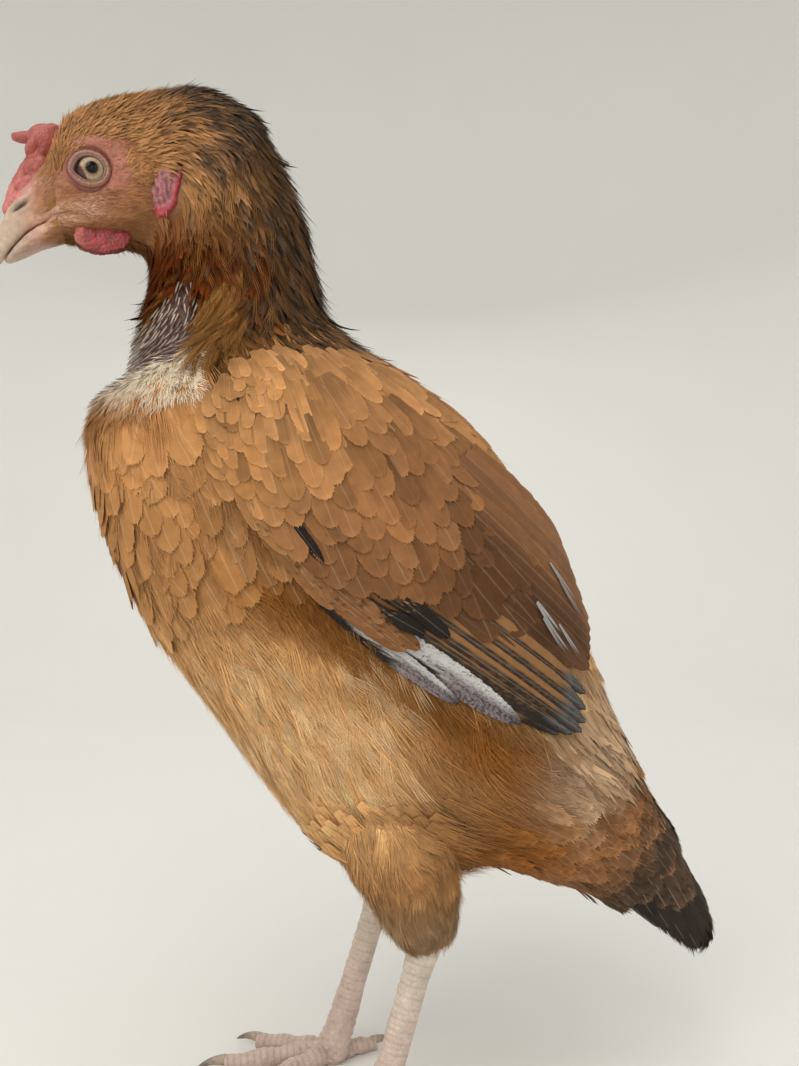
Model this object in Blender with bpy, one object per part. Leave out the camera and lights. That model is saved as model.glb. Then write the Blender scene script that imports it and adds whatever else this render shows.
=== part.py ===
"""Aseel hen: a still, life-size standing model. Metres, +Z up; the hen faces -X and stands on Z = 0.

Body sections, bill and feather tiers are given in millimetres in the plane of symmetry, X then Z,
and every mesh is scaled to metres as it is made.
"""
import math
import random

import bmesh
import bpy
import numpy as np
from mathutils import Vector

MM = 0.001
GAP = 0.3
HALF_GAP = GAP / 2
SIDES = {"left": -1, "right": 1}

# Sections through head, neck and body: back point, front point, half width, broadness of the back.
BODY_SECTIONS = {
    "face": ((-137.5, 389), (-134, 354.5), 10.5, 0.0),
    "brow": ((-131, 402), (-124, 354.5), 14.5, 0.05),
    "eye": ((-117, 411), (-112, 354.5), 16.5, -0.05),
    "cheek": ((-98, 416), (-102, 353), 19, -0.08),
    "occiput": ((-77, 420), (-98, 348), 22, -0.08),
    "nape": ((-57, 411), (-98, 337), 24, -0.05),
    "throat": ((-45, 392), (-102, 324), 25, 0.0),
    "neck": ((-36, 370), (-104, 311), 27, 0.0),
    "crop": ((-31, 348), (-107, 301), 31, 0.0),
    "withers": ((-25, 328), (-119, 291), 38, 0.05),
    "shoulder": ((-9, 315), (-123, 275), 48, 0.08),
    "breast": ((8, 305), (-119, 253), 55, 0.1),
    "back": ((30, 289), (-110, 226), 59, 0.1),
    "keel": ((50, 267), (-94, 196), 60, 0.1),
    "saddle": ((67, 240), (-72, 166), 59, 0.08),
    "flank": ((80, 212), (-51, 136), 57, 0.04),
    "thigh": ((91, 187), (-29, 112), 53, 0.0),
    "belly": ((99, 167), (4, 101), 46, 0.0),
    "vent": ((108, 148), (40, 98), 37, 0.0),
    "rump": ((116, 131), (68, 89), 28, 0.0),
    "tail_root": ((126, 116), (90, 81), 20, -0.1),
    "tail_coverts": ((138, 98), (108, 70), 13, -0.2),
    "tail_middle": ((149, 76), (125, 58), 9, -0.2),
    "tail_tip": ((156, 58), (142, 46), 6, -0.2),
}
SECTION_NAMES = list(BODY_SECTIONS)
HEAD_END = SECTION_NAMES.index("nape") - 0.35
NECK_END = SECTION_NAMES.index("withers") + 0.1
TORSO_END = SECTION_NAMES.index("vent") + 0.25
TAIL_CORE_END = SECTION_NAMES.index("tail_coverts")
BED_END = SECTION_NAMES.index("tail_tip")
HEAD_COUNT = 26
TRUNK_COUNT = 32

UPPER_BILL = [
    ((-138, 387), (-136.6, 361), 10),
    ((-144, 379), (-143, 357.6), 8.6),
    ((-150, 369), (-148.3, 352.6), 6.8),
    ((-154.8, 360), (-151.7, 348.8), 4.8),
    ((-157.8, 350.5), (-154.8, 344.8), 2.8),
    ((-158, 343.5), (-156.6, 342.2), 0.8),
]
LOWER_BILL = [
    ((-136.2, 360.2), (-134.4, 353.8), 8.8),
    ((-142.4, 356.8), (-141.2, 350.4), 7.2),
    ((-147.3, 351.9), (-147.6, 346.8), 5.2),
    ((-150.8, 348.0), (-151.2, 345.2), 2.6),
    ((-152.8, 346.2), (-152.9, 345.6), 0.6),
]
GAPE_CORNER = (-123, 365)
EYE_CENTRE = (-121, 379.5)
EYE_RADIUS = 7.2
EYE_OUT = 10.4
LID_RING_RADIUS = 7.2
LID_THICKNESS = 1.6
COMB_RIDGE = ((-144.6, 381.6), (-148.6, 374.4), (-151.2, 367.6))

# Folded wing, measured along its own axis from the bend: p to the tip, q up to the back.
WING_BEND = (-78, 285)
WING_AXIS = (0.797, -0.604)
WING_LOWER_EDGE = ((0, -4), (25, -22), (60, -31), (120, -33), (150, -31), (170, -23), (195, -8))
WING_UPPER_EDGE = ((0, 27), (20, 46), (65, 60), (110, 53), (145, 43), (185, 19), (200, 6))
WING_FRONT = 5
WING_PAD_END = 126
WING_PAD_THICKNESS = 7.5
WING_EDGE_THICKNESS = 3.0
FLIGHT_ROOTS = ((66, -28), (78, -20), (92, 44))
FLIGHT_TIPS = ((178, -21), (192, -10), (193, 8), (185, 21), (163, 36), (143, 42))

# Tail, measured from the top of its root: a along its upper edge, c down from that edge.
TAIL_ORIGIN = (124, 121)
TAIL_AXIS = (0.506, -0.863)
TAIL_TIPS = ((73, 5), (79, 9), (80, 13), (75, 17), (67, 21), (58, 25), (47, 29))

HOCK = (8, 35, 80)
ANKLE = (-10, 36, 22)
BALL = (-15, 36, 9)
# Toes: heading in degrees outwards from straight ahead, length, radius at the ball, claw length.
TOES = {
    "inner": (-26, 36, 5.0, 11),
    "middle": (2, 50, 5.2, 12),
    "outer": (32, 38, 4.8, 11),
    "hind": (168, 20, 4.4, 10),
}

MATERIALS = {
    "plumage": ((0.52, 0.30, 0.13), 0.8),
    "hackle": ((0.38, 0.20, 0.08), 0.8),
    "tail_feather": ((0.12, 0.08, 0.06), 0.6),
    "face_skin": ((0.62, 0.26, 0.20), 0.6),
    "comb_skin": ((0.70, 0.18, 0.20), 0.5),
    "bill_horn": ((0.62, 0.47, 0.38), 0.45),
    "leg_scale": ((0.72, 0.60, 0.52), 0.55),
    "claw_horn": ((0.45, 0.37, 0.30), 0.45),
    "eye": ((0.70, 0.66, 0.52), 0.15),
}


def clear_scene():
    for obj in list(bpy.data.objects):
        bpy.data.objects.remove(obj, do_unlink=True)


def make_material(name):
    colour, roughness = MATERIALS[name]
    material = bpy.data.materials.new(name)
    material.use_nodes = True
    shader = material.node_tree.nodes["Principled BSDF"]
    shader.inputs["Base Color"].default_value = (*colour, 1.0)
    shader.inputs["Roughness"].default_value = roughness
    material.diffuse_color = (*colour, 1.0)
    return material


def smooth_between(rows, t):
    """A row of numbers at place t along the rows, on a Catmull-Rom curve through them."""
    rows = np.asarray(rows, float)
    i = min(max(int(math.floor(t)), 0), len(rows) - 2)
    f = t - i
    before = rows[i - 1] if i > 0 else 2 * rows[0] - rows[1]
    after = rows[i + 2] if i + 2 < len(rows) else 2 * rows[-1] - rows[-2]
    a, b = rows[i], rows[i + 1]
    bend = 2 * before - 5 * a + 4 * b - after
    twist = 3 * a - before - 3 * b + after
    return a + 0.5 * f * (b - before + f * (bend + f * twist))


def section_rows(sections):
    """Sections as rows of numbers: back x, z, front x, z, half width, broadness."""
    rows = []
    for section in sections:
        back, front, width = section[:3]
        broad = section[3] if len(section) > 3 else 0.0
        rows.append((*back, *front, width, broad))
    return np.array(rows, float)


BODY_ROWS = section_rows(BODY_SECTIONS.values())


def section_point(row, phi, swell=0.0):
    """A point of one section: phi is 0 at the back and pi at the front; +Y is the right side."""
    back, front = row[0:2], row[2:4]
    middle, arm = (back + front) / 2, (back - front) / 2
    height = np.linalg.norm(arm)
    arm = arm * (height + swell) / height
    across = (row[4] + swell) * math.sin(phi) * (1 + row[5] * math.cos(phi))
    x, z = middle + arm * math.cos(phi)
    return np.array((x, across, z))


def ring(row, count, swell=0.0, shift=0.0):
    """A section's closed ring of points, moved by shift along the way the sections run."""
    back, front = row[0:2], row[2:4]
    arm = (back - front) / np.linalg.norm(back - front)
    onward = np.array((arm[1], 0.0, -arm[0]))
    turns = [2 * math.pi * k / count for k in range(count)]
    return [section_point(row, phi, swell) + onward * shift for phi in turns]


def link(name, vertices, faces, material=None):
    """A mesh object of these points in millimetres, with its faces turned outwards."""
    mesh = bpy.data.meshes.new(name)
    mesh.from_pydata([tuple(float(c) * MM for c in v) for v in vertices], [], faces)
    work = bmesh.new()
    work.from_mesh(mesh)
    bmesh.ops.recalc_face_normals(work, faces=work.faces)
    if work.calc_volume(signed=True) < 0:
        bmesh.ops.reverse_faces(work, faces=work.faces)
    work.to_mesh(mesh)
    work.free()
    obj = bpy.data.objects.new(name, mesh)
    bpy.context.scene.collection.objects.link(obj)
    if material:
        mesh.materials.append(material)
    return obj


def loft(name, rings, material=None):
    """A closed body through rings of equal point count, capped flat at both ends."""
    count = len(rings[0])
    vertices = [p for r in rings for p in r]
    faces = []
    for i in range(len(rings) - 1):
        for k in range(count):
            n = (k + 1) % count
            a, b = i * count, (i + 1) * count
            faces.append((a + k, a + n, b + n))
            faces.append((a + k, b + n, b + k))
    last = (len(rings) - 1) * count
    for start, end in ((0, 0), (last, last)):
        for k in range(1, count - 1):
            faces.append((start, end + k, end + k + 1))
    return link(name, vertices, faces, material)


def evaluated_mesh(obj):
    bpy.context.view_layer.update()
    graph = bpy.context.evaluated_depsgraph_get()
    return bpy.data.meshes.new_from_object(obj.evaluated_get(graph))


def keep_largest(mesh):
    """Drops every closed surface of the mesh but the one of largest volume."""
    work = bmesh.new()
    work.from_mesh(mesh)
    seen, shells = set(), []
    for face in work.faces:
        if face in seen:
            continue
        shell, queue = [], [face]
        seen.add(face)
        while queue:
            current = queue.pop()
            shell.append(current)
            for edge in current.edges:
                for other in edge.link_faces:
                    if other not in seen:
                        seen.add(other)
                        queue.append(other)
        shells.append(shell)

    def volume(shell):
        total = 0.0
        for face in shell:
            first = face.verts[0].co
            for k in range(1, len(face.verts) - 1):
                total += first.dot(face.verts[k].co.cross(face.verts[k + 1].co))
        return total

    shells.sort(key=volume)
    spare = [face for shell in shells[:-1] for face in shell]
    bmesh.ops.delete(work, geom=spare, context="FACES")
    work.to_mesh(mesh)
    work.free()


def combine(body, pieces, operation, solver="MANIFOLD"):
    """Applies one Boolean of a collection of pieces to the body, and removes the pieces."""
    if not pieces:
        return body
    group = bpy.data.collections.new(body.name + "_pieces")
    for piece in pieces:
        group.objects.link(piece)
    step = body.modifiers.new("combine", "BOOLEAN")
    step.operation = operation
    step.solver = solver
    step.operand_type = "COLLECTION"
    step.collection = group
    made = evaluated_mesh(body)
    body.modifiers.clear()
    old = body.data
    body.data = made
    bpy.data.meshes.remove(old)
    for piece in pieces:
        bpy.data.objects.remove(piece, do_unlink=True)
    bpy.data.collections.remove(group)
    keep_largest(body.data)
    return body


def finish(obj, name, material):
    """Names the node and gives it its one material and smooth shading with sharp creases."""
    obj.name = name
    obj.data.name = name
    obj.data.materials.clear()
    obj.data.materials.append(material)
    for polygon in obj.data.polygons:
        polygon.material_index = 0
    obj.data.shade_smooth()
    obj.data.set_sharp_from_angle(angle=math.radians(40))
    return obj


def span_places(start, end):
    """Evenly spaced places along the sections, closer together on the head."""
    step = 0.42 if end <= HEAD_END else 0.5
    return list(np.linspace(start, end, max(2, int(round((end - start) / step)) + 1)))


def body_span(name, start, end, count):
    """The body between two places along its sections, its flat ends drawn in by half a gap."""
    places = span_places(start, end)
    shifts = [HALF_GAP] + [0.0] * (len(places) - 2) + [-HALF_GAP]
    rows = [smooth_between(BODY_ROWS, place) for place in places]
    return loft(name, [ring(row, count, 0.0, shift) for row, shift in zip(rows, shifts)])


def body_room(*spans, count):
    """What lengths of the body fill, a gap larger, to cut what grows on them."""
    places = sorted({place for start, end in spans for place in span_places(start, end)})
    rows = [smooth_between(BODY_ROWS, place) for place in places]
    shifts = [-GAP] + [0.0] * (len(places) - 2) + [GAP]
    return loft("room", [ring(row, count, GAP, shift) for row, shift in zip(rows, shifts)])


def trunk_room():
    spans = (HEAD_END, NECK_END), (NECK_END, TORSO_END), (TORSO_END, TAIL_CORE_END)
    return body_room(*spans, (TAIL_CORE_END, BED_END), count=TRUNK_COUNT)


def ellipsoid(name, centre, radii, turns=(0, 0, 0), segments=12, rows=7):
    """A closed ellipsoid; turns are degrees about X, Y and Z."""
    work = bmesh.new()
    bmesh.ops.create_uvsphere(work, u_segments=segments, v_segments=rows, radius=1.0)
    mesh = bpy.data.meshes.new(name)
    work.to_mesh(mesh)
    work.free()
    obj = bpy.data.objects.new(name, mesh)
    bpy.context.scene.collection.objects.link(obj)
    scale = np.array(radii, float)
    ax, ay, az = (math.radians(v) for v in turns)
    spin_x = np.array(((1, 0, 0), (0, math.cos(ax), -math.sin(ax)), (0, math.sin(ax), math.cos(ax))))
    spin_y = np.array(((math.cos(ay), 0, math.sin(ay)), (0, 1, 0), (-math.sin(ay), 0, math.cos(ay))))
    spin_z = np.array(((math.cos(az), -math.sin(az), 0), (math.sin(az), math.cos(az), 0), (0, 0, 1)))
    spin = spin_z @ spin_y @ spin_x
    for vertex in mesh.vertices:
        vertex.co = Vector((spin @ (np.array(vertex.co) * scale) + np.array(centre)) * MM)
    return obj


def lid_ring(name, side, centre, out, radius, thickness, segments=20, sides=6):
    """The rim of the eyelids: a ring round the eye, set square to the side of the face."""
    rings = []
    for k in range(segments):
        a = 2 * math.pi * k / segments
        stretch = 1.12 if math.cos(a) < 0 else 1.0
        ring_points = []
        for j in range(sides):
            b = 2 * math.pi * j / sides
            r = radius * stretch + thickness * math.cos(b)
            y = out + thickness * math.sin(b) - 0.11 * r * math.cos(a)
            ring_points.append((centre[0] + r * math.cos(a), side * y, centre[1] + r * math.sin(a)))
        rings.append(ring_points)
    vertices = [p for r in rings for p in r]
    faces = []
    for i in range(segments):
        a, b = i * sides, ((i + 1) % segments) * sides
        for k in range(sides):
            n = (k + 1) % sides
            faces.append((a + k, a + n, b + n))
            faces.append((a + k, b + n, b + k))
    return link(name, vertices, faces)


def head_lumps(side, swell=0.0):
    """The brow, jaw and cheek that stand out from the head's plain form."""
    lumps = (
        ((EYE_CENTRE[0] + 1, 12.2, EYE_CENTRE[1] + 9.8), (12, 3.4, 3.0), -5),
        ((-122, 8.4, 360.5), (11, 3.4, 3.2), -14),
        ((-105, 11.6, 366), (14, 5.6, 9), -20),
    )
    made = []
    for (x, y, z), size, turn in lumps:
        sizes = [v + swell for v in size]
        made.append(ellipsoid("lump", (x, side * y, z), sizes, (0, turn, 0), 10, 6))
    return made


def make_head():
    body = body_span("head", 0, HEAD_END, HEAD_COUNT)
    parts, cutters = [], []
    for side in SIDES.values():
        parts.append(lid_ring("lid", side, EYE_CENTRE, 15.6, LID_RING_RADIUS, LID_THICKNESS, 16, 5))
        parts += head_lumps(side)
        socket = (EYE_CENTRE[0], side * EYE_OUT, EYE_CENTRE[1])
        cutters.append(ellipsoid("socket", socket, (EYE_RADIUS + GAP,) * 3, (90, 0, 0), 16, 10))
        cup = (-97, side * 20.5, 376)
        cutters.append(ellipsoid("ear_cup", cup, (2.0, 2.4, 5.0), (0, 12, 0), 8, 5))
    combine(body, parts, "UNION")
    mouth = [
        [(-141, y, z) for y, z in ((-30, 360.1), (30, 360.1), (30, 360.7), (-30, 360.7))],
        [(-133, y, z) for y, z in ((-30, 361.8), (30, 361.8), (30, 362.5), (-30, 362.5))],
        [(GAPE_CORNER[0], y, z) for y, z in ((-30, 364.8), (30, 364.8), (30, 365.3), (-30, 365.3))],
    ]
    cutters.append(loft("mouth", mouth))
    return combine(body, cutters, "DIFFERENCE")


def head_room(side):
    """What the head fills near one side, a gap larger, to trim what grows on it."""
    return [body_room((0, HEAD_END), count=HEAD_COUNT)] + head_lumps(side, GAP)


def bill_loft(name, sections, count, swell=0.0, steps=3):
    rows = section_rows(sections)
    places = np.linspace(0, len(rows) - 1, steps * (len(rows) - 1) + 1)
    return loft(name, [ring(smooth_between(rows, p), count, swell) for p in places])


def make_upper_bill():
    body = bill_loft("upper_bill", UPPER_BILL, 14, steps=2)
    cutters = []
    for side in SIDES.values():
        nostril = (-147.3, side * 8.6, 366.2)
        cutters.append(ellipsoid("nostril", nostril, (3.0, 2.2, 1.1), (0, -30, 0), 10, 6))
    cutters.append(body_room((0, HEAD_END), count=HEAD_COUNT))
    return combine(body, cutters, "DIFFERENCE")


def make_lower_bill():
    body = bill_loft("lower_bill", LOWER_BILL, 12, steps=2)
    return combine(body, [body_room((0, HEAD_END), count=HEAD_COUNT)], "DIFFERENCE")


def make_comb():
    """A low pea comb: a ridge of small bulbs up the bill's base, and a taller lobe with a finger."""
    body = ellipsoid("comb", (-138.8, 0, 394.6), (6.6, 4.0, 6.2), (0, -20, 0), 10, 7)
    bulbs = [
        ((-145.6, 0, 394.6), (5.0, 2.3, 2.4), -8),
        ((-135.4, 0, 398.6), (3.6, 3.0, 2.6), 0),
        ((-140.8, 0, 387.6), (6.0, 3.2, 3.6), -60),
    ]
    for k, (x, z) in enumerate(COMB_RIDGE):
        size = 4.0 - 0.5 * k
        bulbs.append(((x, 0, z), (size * 1.35, size * 0.8, size * 0.9), -62))
        for side in SIDES.values():
            bulbs.append(((x + 2, side * (3.2 - 0.4 * k), z + 1), (size, size * 0.7, size * 0.8), -62))
    pieces = [ellipsoid("bulb", c, r, (0, t, 0), 6, 4) for c, r, t in bulbs]
    combine(body, pieces, "UNION")
    room = [
        body_room((0, HEAD_END), count=HEAD_COUNT),
        bill_loft("bill_room", UPPER_BILL, 14, GAP, 2),
    ]
    return combine(body, room, "DIFFERENCE")


def make_wattle(side):
    """A small half-round fold under the jaw, the left one a little longer."""
    drop = 2.6 if side < 0 else 0.4
    body = ellipsoid("wattle", (-116, side * 11.4, 358.2 - drop / 2), (10.0, 1.9, 5.2 + drop / 2),
                     (side * 16, -4, 0), 12, 7)
    fold = ellipsoid("fold", (-121, side * 11.2, 358.5 - drop / 2), (5.0, 2.2, 3.8), (side * 16, 0, 0), 8, 5)
    combine(body, [fold], "UNION")
    return combine(body, head_room(side), "DIFFERENCE")


def make_earlobe(side):
    """The ear lobe: a slanting fold behind the cheek with a bulb at its lower end."""
    body = ellipsoid("earlobe", (-91.0, side * 18.6, 372.5), (4.4, 4.4, 10.4), (0, 14, side * -6), 12, 8)
    fold = ellipsoid("fold", (-94.0, side * 18.6, 364.6), (3.4, 3.6, 4.0), (0, 30, 0), 8, 5)
    combine(body, [fold], "UNION")
    return combine(body, head_room(side), "DIFFERENCE")


def make_eye(side):
    centre = (EYE_CENTRE[0], side * EYE_OUT, EYE_CENTRE[1])
    return ellipsoid("eye", centre, (EYE_RADIUS,) * 3, (90, 0, 0), 14, 9)


def make_neck():
    return body_span("neck", HEAD_END, NECK_END, TRUNK_COUNT)


def make_torso():
    return body_span("torso", NECK_END, TORSO_END, TRUNK_COUNT)


def locate(x, z):
    """The place along the body sections and the turn round them that show at x, z from the side."""
    low, high = NECK_END - 0.8, float(BED_END)

    def past(place):
        row = smooth_between(BODY_ROWS, place)
        dx, dz = row[0] - row[2], row[1] - row[3]
        return dx * (z - row[3]) - dz * (x - row[2])

    for _ in range(32):
        middle = (low + high) / 2
        if past(middle) > 0:
            high = middle
        else:
            low = middle
    row = smooth_between(BODY_ROWS, low)
    arm = (row[0:2] - row[2:4]) / 2
    share = float(np.dot(np.array((x, z)) - (row[0:2] + row[2:4]) / 2, arm) / np.dot(arm, arm))
    return low, math.acos(min(max(share, -0.985), 0.992))


def on_body(x, z, side, lift):
    """The point that shows at x, z from the side, lifted off the body's surface."""
    place, phi = locate(x, z)
    step = 0.02
    here = section_point(smooth_between(BODY_ROWS, place), phi)
    ahead = step if place + step < BED_END else -step
    along = section_point(smooth_between(BODY_ROWS, place + ahead), phi) - here
    along *= ahead / step
    round_ = section_point(smooth_between(BODY_ROWS, place), phi + step) - here
    normal = np.cross(along, round_)
    normal /= np.linalg.norm(normal)
    if normal[1] < 0:
        normal = -normal
    point = here + normal * lift
    return np.array((point[0], side * point[1], point[2]))


def wing_place(p, q):
    """Wing coordinates to X, Z seen from the side."""
    ax, az = WING_AXIS
    return WING_BEND[0] + ax * p - az * q, WING_BEND[1] + az * p + ax * q


def tail_place(a, c):
    """Tail coordinates to X, Z seen from the side."""
    ax, az = TAIL_AXIS
    return TAIL_ORIGIN[0] + ax * a + az * c, TAIL_ORIGIN[1] + az * a - ax * c


def between(knots, at):
    """The value at a place among pairs of place and value."""
    return float(np.interp(at, [k[0] for k in knots], [k[1] for k in knots]))


def along_line(points, share):
    """The point at a share of the way along a bent line."""
    points = np.array(points, float)
    steps = np.linalg.norm(np.diff(points, axis=0), axis=1)
    reached = np.concatenate(((0.0,), np.cumsum(steps))) / steps.sum()
    return np.array([np.interp(share, reached, points[:, axis]) for axis in range(2)])


def pad_thickness(p, q):
    """How thick the feathered arm of the folded wing is at p, q."""
    along = min(max((p - WING_FRONT) / (WING_PAD_END - WING_FRONT), 0.0), 1.0)
    low, high = between(WING_LOWER_EDGE, p), between(WING_UPPER_EDGE, p)
    across = min(max((q - low) / (high - low), 0.0), 1.0)
    crown = math.sqrt(math.sin(math.pi * across)) * min(1.0, 0.3 + 2.6 * along)
    thick = WING_EDGE_THICKNESS + (WING_PAD_THICKNESS - WING_EDGE_THICKNESS) * crown
    return thick * (1 - 0.3 * max(0.0, along - 0.6) / 0.4)


def wing_pad(side):
    """The feathered arm: a thick pad with thin edges, wrapped on the body's side."""
    steps_p, steps_q = 11, 7
    outer, inner = [], []
    for i in range(steps_p):
        p = WING_FRONT + (WING_PAD_END - WING_FRONT) * i / (steps_p - 1)
        low, high = between(WING_LOWER_EDGE, p), between(WING_UPPER_EDGE, p)
        for j in range(steps_q):
            q = low + (high - low) * j / (steps_q - 1)
            x, z = wing_place(p, q)
            outer.append(on_body(x, z, side, pad_thickness(p, q)))
            inner.append(on_body(x, z, side, -3.0))
    return slab(outer, inner, steps_p, steps_q)


def slab(outer, inner, rows, columns):
    """A closed sheet between two like grids, with both faces split alike."""
    vertices = list(outer) + list(inner)
    shift = len(outer)
    faces = []
    for i in range(rows - 1):
        for j in range(columns - 1):
            a, b = i * columns + j, i * columns + j + 1
            c, d = a + columns, b + columns
            faces += [(a, b, d), (a, d, c)]
            faces += [(a + shift, d + shift, b + shift), (a + shift, c + shift, d + shift)]
    rim = [j for j in range(columns)]
    rim += [i * columns + columns - 1 for i in range(1, rows)]
    rim += [(rows - 1) * columns + j for j in range(columns - 2, -1, -1)]
    rim += [i * columns for i in range(rows - 2, 0, -1)]
    for k, a in enumerate(rim):
        b = rim[(k + 1) % len(rim)]
        faces += [(a, b, b + shift), (a, b + shift, a + shift)]
    return link("slab", vertices, faces)


def vane_width(along):
    """Share of a feather's full width at a share of its length: narrow quill, rounded tip."""
    root = 0.4 + 0.6 * min(1.0, along / 0.3)
    tip = math.sqrt(max(0.0, 1 - (max(0.0, along - 0.72) / 0.29) ** 2))
    return root * max(tip, 0.18)


def vane(place, root, tip, width, lift, tilt, steps, thickness=0.7, sag=0.0):
    """One feather as a thin closed blade. place(u, v, lift) sets a point on the bed of its tier;
    the feather's lower edge is tilted up to lie over the feather below."""
    way = tip - root
    across = np.array((-way[1], way[0])) / np.linalg.norm(way)
    outer, inner = [], []
    for along in steps:
        middle = root + way * along + across * sag * math.sin(math.pi * along)
        half = width / 2 * vane_width(along)
        thin = thickness * (1 - 0.3 * along)
        for share in (-1, 1):
            u, v = middle + across * half * share
            rise = lift(u, v, along) - tilt * share * half / (width / 2)
            outer.append(place(u, v, rise + thin))
            inner.append(place(u, v, rise))
    return slab(outer, inner, len(steps), 2)


def tier(place, count, roots, tips, width, lift, steps, draw, sag=0.0):
    """A row of feathers along two bent lines of roots and tips, each lying over the one below."""
    spacing = min(line_length(roots), line_length(tips)) / (count - 1)
    tilt = 0.55 * width / spacing
    made = []
    for k in range(count):
        share = k / (count - 1)
        root = along_line(roots, share)
        tip = along_line(tips, share)
        tip = root + (tip - root) * draw.uniform(0.975, 1.02)
        made.append(vane(place, root, tip, width, lift, tilt, steps, sag=sag))
    return made


def line_length(points):
    return float(np.linalg.norm(np.diff(np.array(points, float), axis=0), axis=1).sum())


FLIGHT_STEPS = (0.0, 0.3, 0.55, 0.76, 0.92, 1.0)
COVERT_STEPS = (0.0, 0.5, 0.85, 1.0)
TAIL_STEPS = (0.0, 0.35, 0.65, 0.88, 1.0)


def make_wing(side):
    draw = random.Random(11 if side < 0 else 12)

    def place(p, q, lift):
        x, z = wing_place(p, q)
        return on_body(x, z, side, lift)

    def in_arm(p, q, along):
        return 3.3

    def on_arm(p, q, along):
        return pad_thickness(p, q) - 2.4 + 4.2 * along

    feathers = tier(place, 12, FLIGHT_ROOTS, FLIGHT_TIPS, 15, in_arm, FLIGHT_STEPS, draw, -2)
    feathers += tier(place, 8, ((76, -20), (88, 42)), ((116, -27), (139, -4), (140, 36)), 13.5,
                     on_arm, COVERT_STEPS, draw)
    feathers += tier(place, 7, ((46, -18), (62, 46)), ((86, -25), (104, 0), (106, 46)), 15,
                     on_arm, COVERT_STEPS, draw)
    body = combine(wing_pad(side), feathers, "UNION")
    return combine(body, [trunk_room()], "DIFFERENCE")


def make_tail():
    """The tail's root, seven pairs of steering feathers in a narrow roof, and two tiers of coverts."""
    body = body_span("tail", TORSO_END, TAIL_CORE_END, TRUNK_COUNT)
    feathers = []
    covert_tips = ((50, 6), (52, 14), (44, 24), (28, 37))
    upper_tips = ((26, 7), (27, 16), (20, 28), (6, 42))
    for side in SIDES.values():
        draw = random.Random(21 if side < 0 else 22)

        def place(a, c, lift):
            x, z = tail_place(a, c)
            return on_body(x, z, side, lift)

        def in_root(a, c, along):
            return -3.8 + 2.4 * along

        def on_root(a, c, along):
            return -1.8 + 3.2 * along

        def over_root(a, c, along):
            return -2.4 + 5.4 * along

        feathers += tier(place, 7, ((0, 7), (-2, 36)), TAIL_TIPS, 10.5, in_root, TAIL_STEPS, draw)
        feathers += tier(place, 4, ((-5, 9), (-6, 36)), covert_tips, 13, on_root, COVERT_STEPS, draw)
        feathers += tier(place, 4, ((-17, 9), (-15, 38)), upper_tips, 14, over_root, COVERT_STEPS, draw)
    return combine(body, feathers, "UNION")


def tube(name, points, radii, count, flat=None, floor=None, first_side=(0, 1, 0)):
    """A closed tube through points. radii are pairs: across, and up from the middle."""
    points = [np.array(p, float) for p in points]
    rings = []
    for i, point in enumerate(points):
        ahead = points[min(i + 1, len(points) - 1)] - points[max(i - 1, 0)]
        ahead /= np.linalg.norm(ahead)
        across = np.array(first_side, float)
        across -= ahead * np.dot(across, ahead)
        across /= np.linalg.norm(across)
        up = np.cross(ahead, across)
        if up[2] < 0 or (abs(up[2]) < 0.2 and up[0] > 0):
            up = -up
        wide, high = radii[i]
        ring_points = []
        for k in range(count):
            a = 2 * math.pi * k / count
            p = point + across * wide * math.sin(a) + up * high * math.cos(a)
            if floor is not None:
                p[2] = max(p[2], floor)
            ring_points.append(p)
        rings.append(ring_points)
    return loft(name, rings)


def thigh_body(side, swell=0.0):
    """The feathered drumstick from the belly down to its rounded end over the hock."""
    top = np.array((-14, side * 28, 138))
    hock = np.array((HOCK[0], side * HOCK[1], HOCK[2]))
    way = hock - top
    places = (0.0, 0.25, 0.45, 0.62, 0.78, 0.92, 1.03, 1.1)
    sizes = ((22, 25), (22, 24.5), (20.5, 22.5), (18, 20), (15, 17), (12.5, 14.5), (10, 11.5), (5, 6))
    points = [top + way * s + np.array((3 * math.sin(math.pi * s), 0, 0)) for s in places]
    return tube("thigh", points, [(a + swell, b + swell) for a, b in sizes], 16)


def make_thigh(side):
    return combine(thigh_body(side), [trunk_room()], "DIFFERENCE")


def scute_profile(along, count):
    """Raised overlapping plates: 0 at a plate's upper edge rising to 1 at its lower edge."""
    return (along * count) % 1.0


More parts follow.
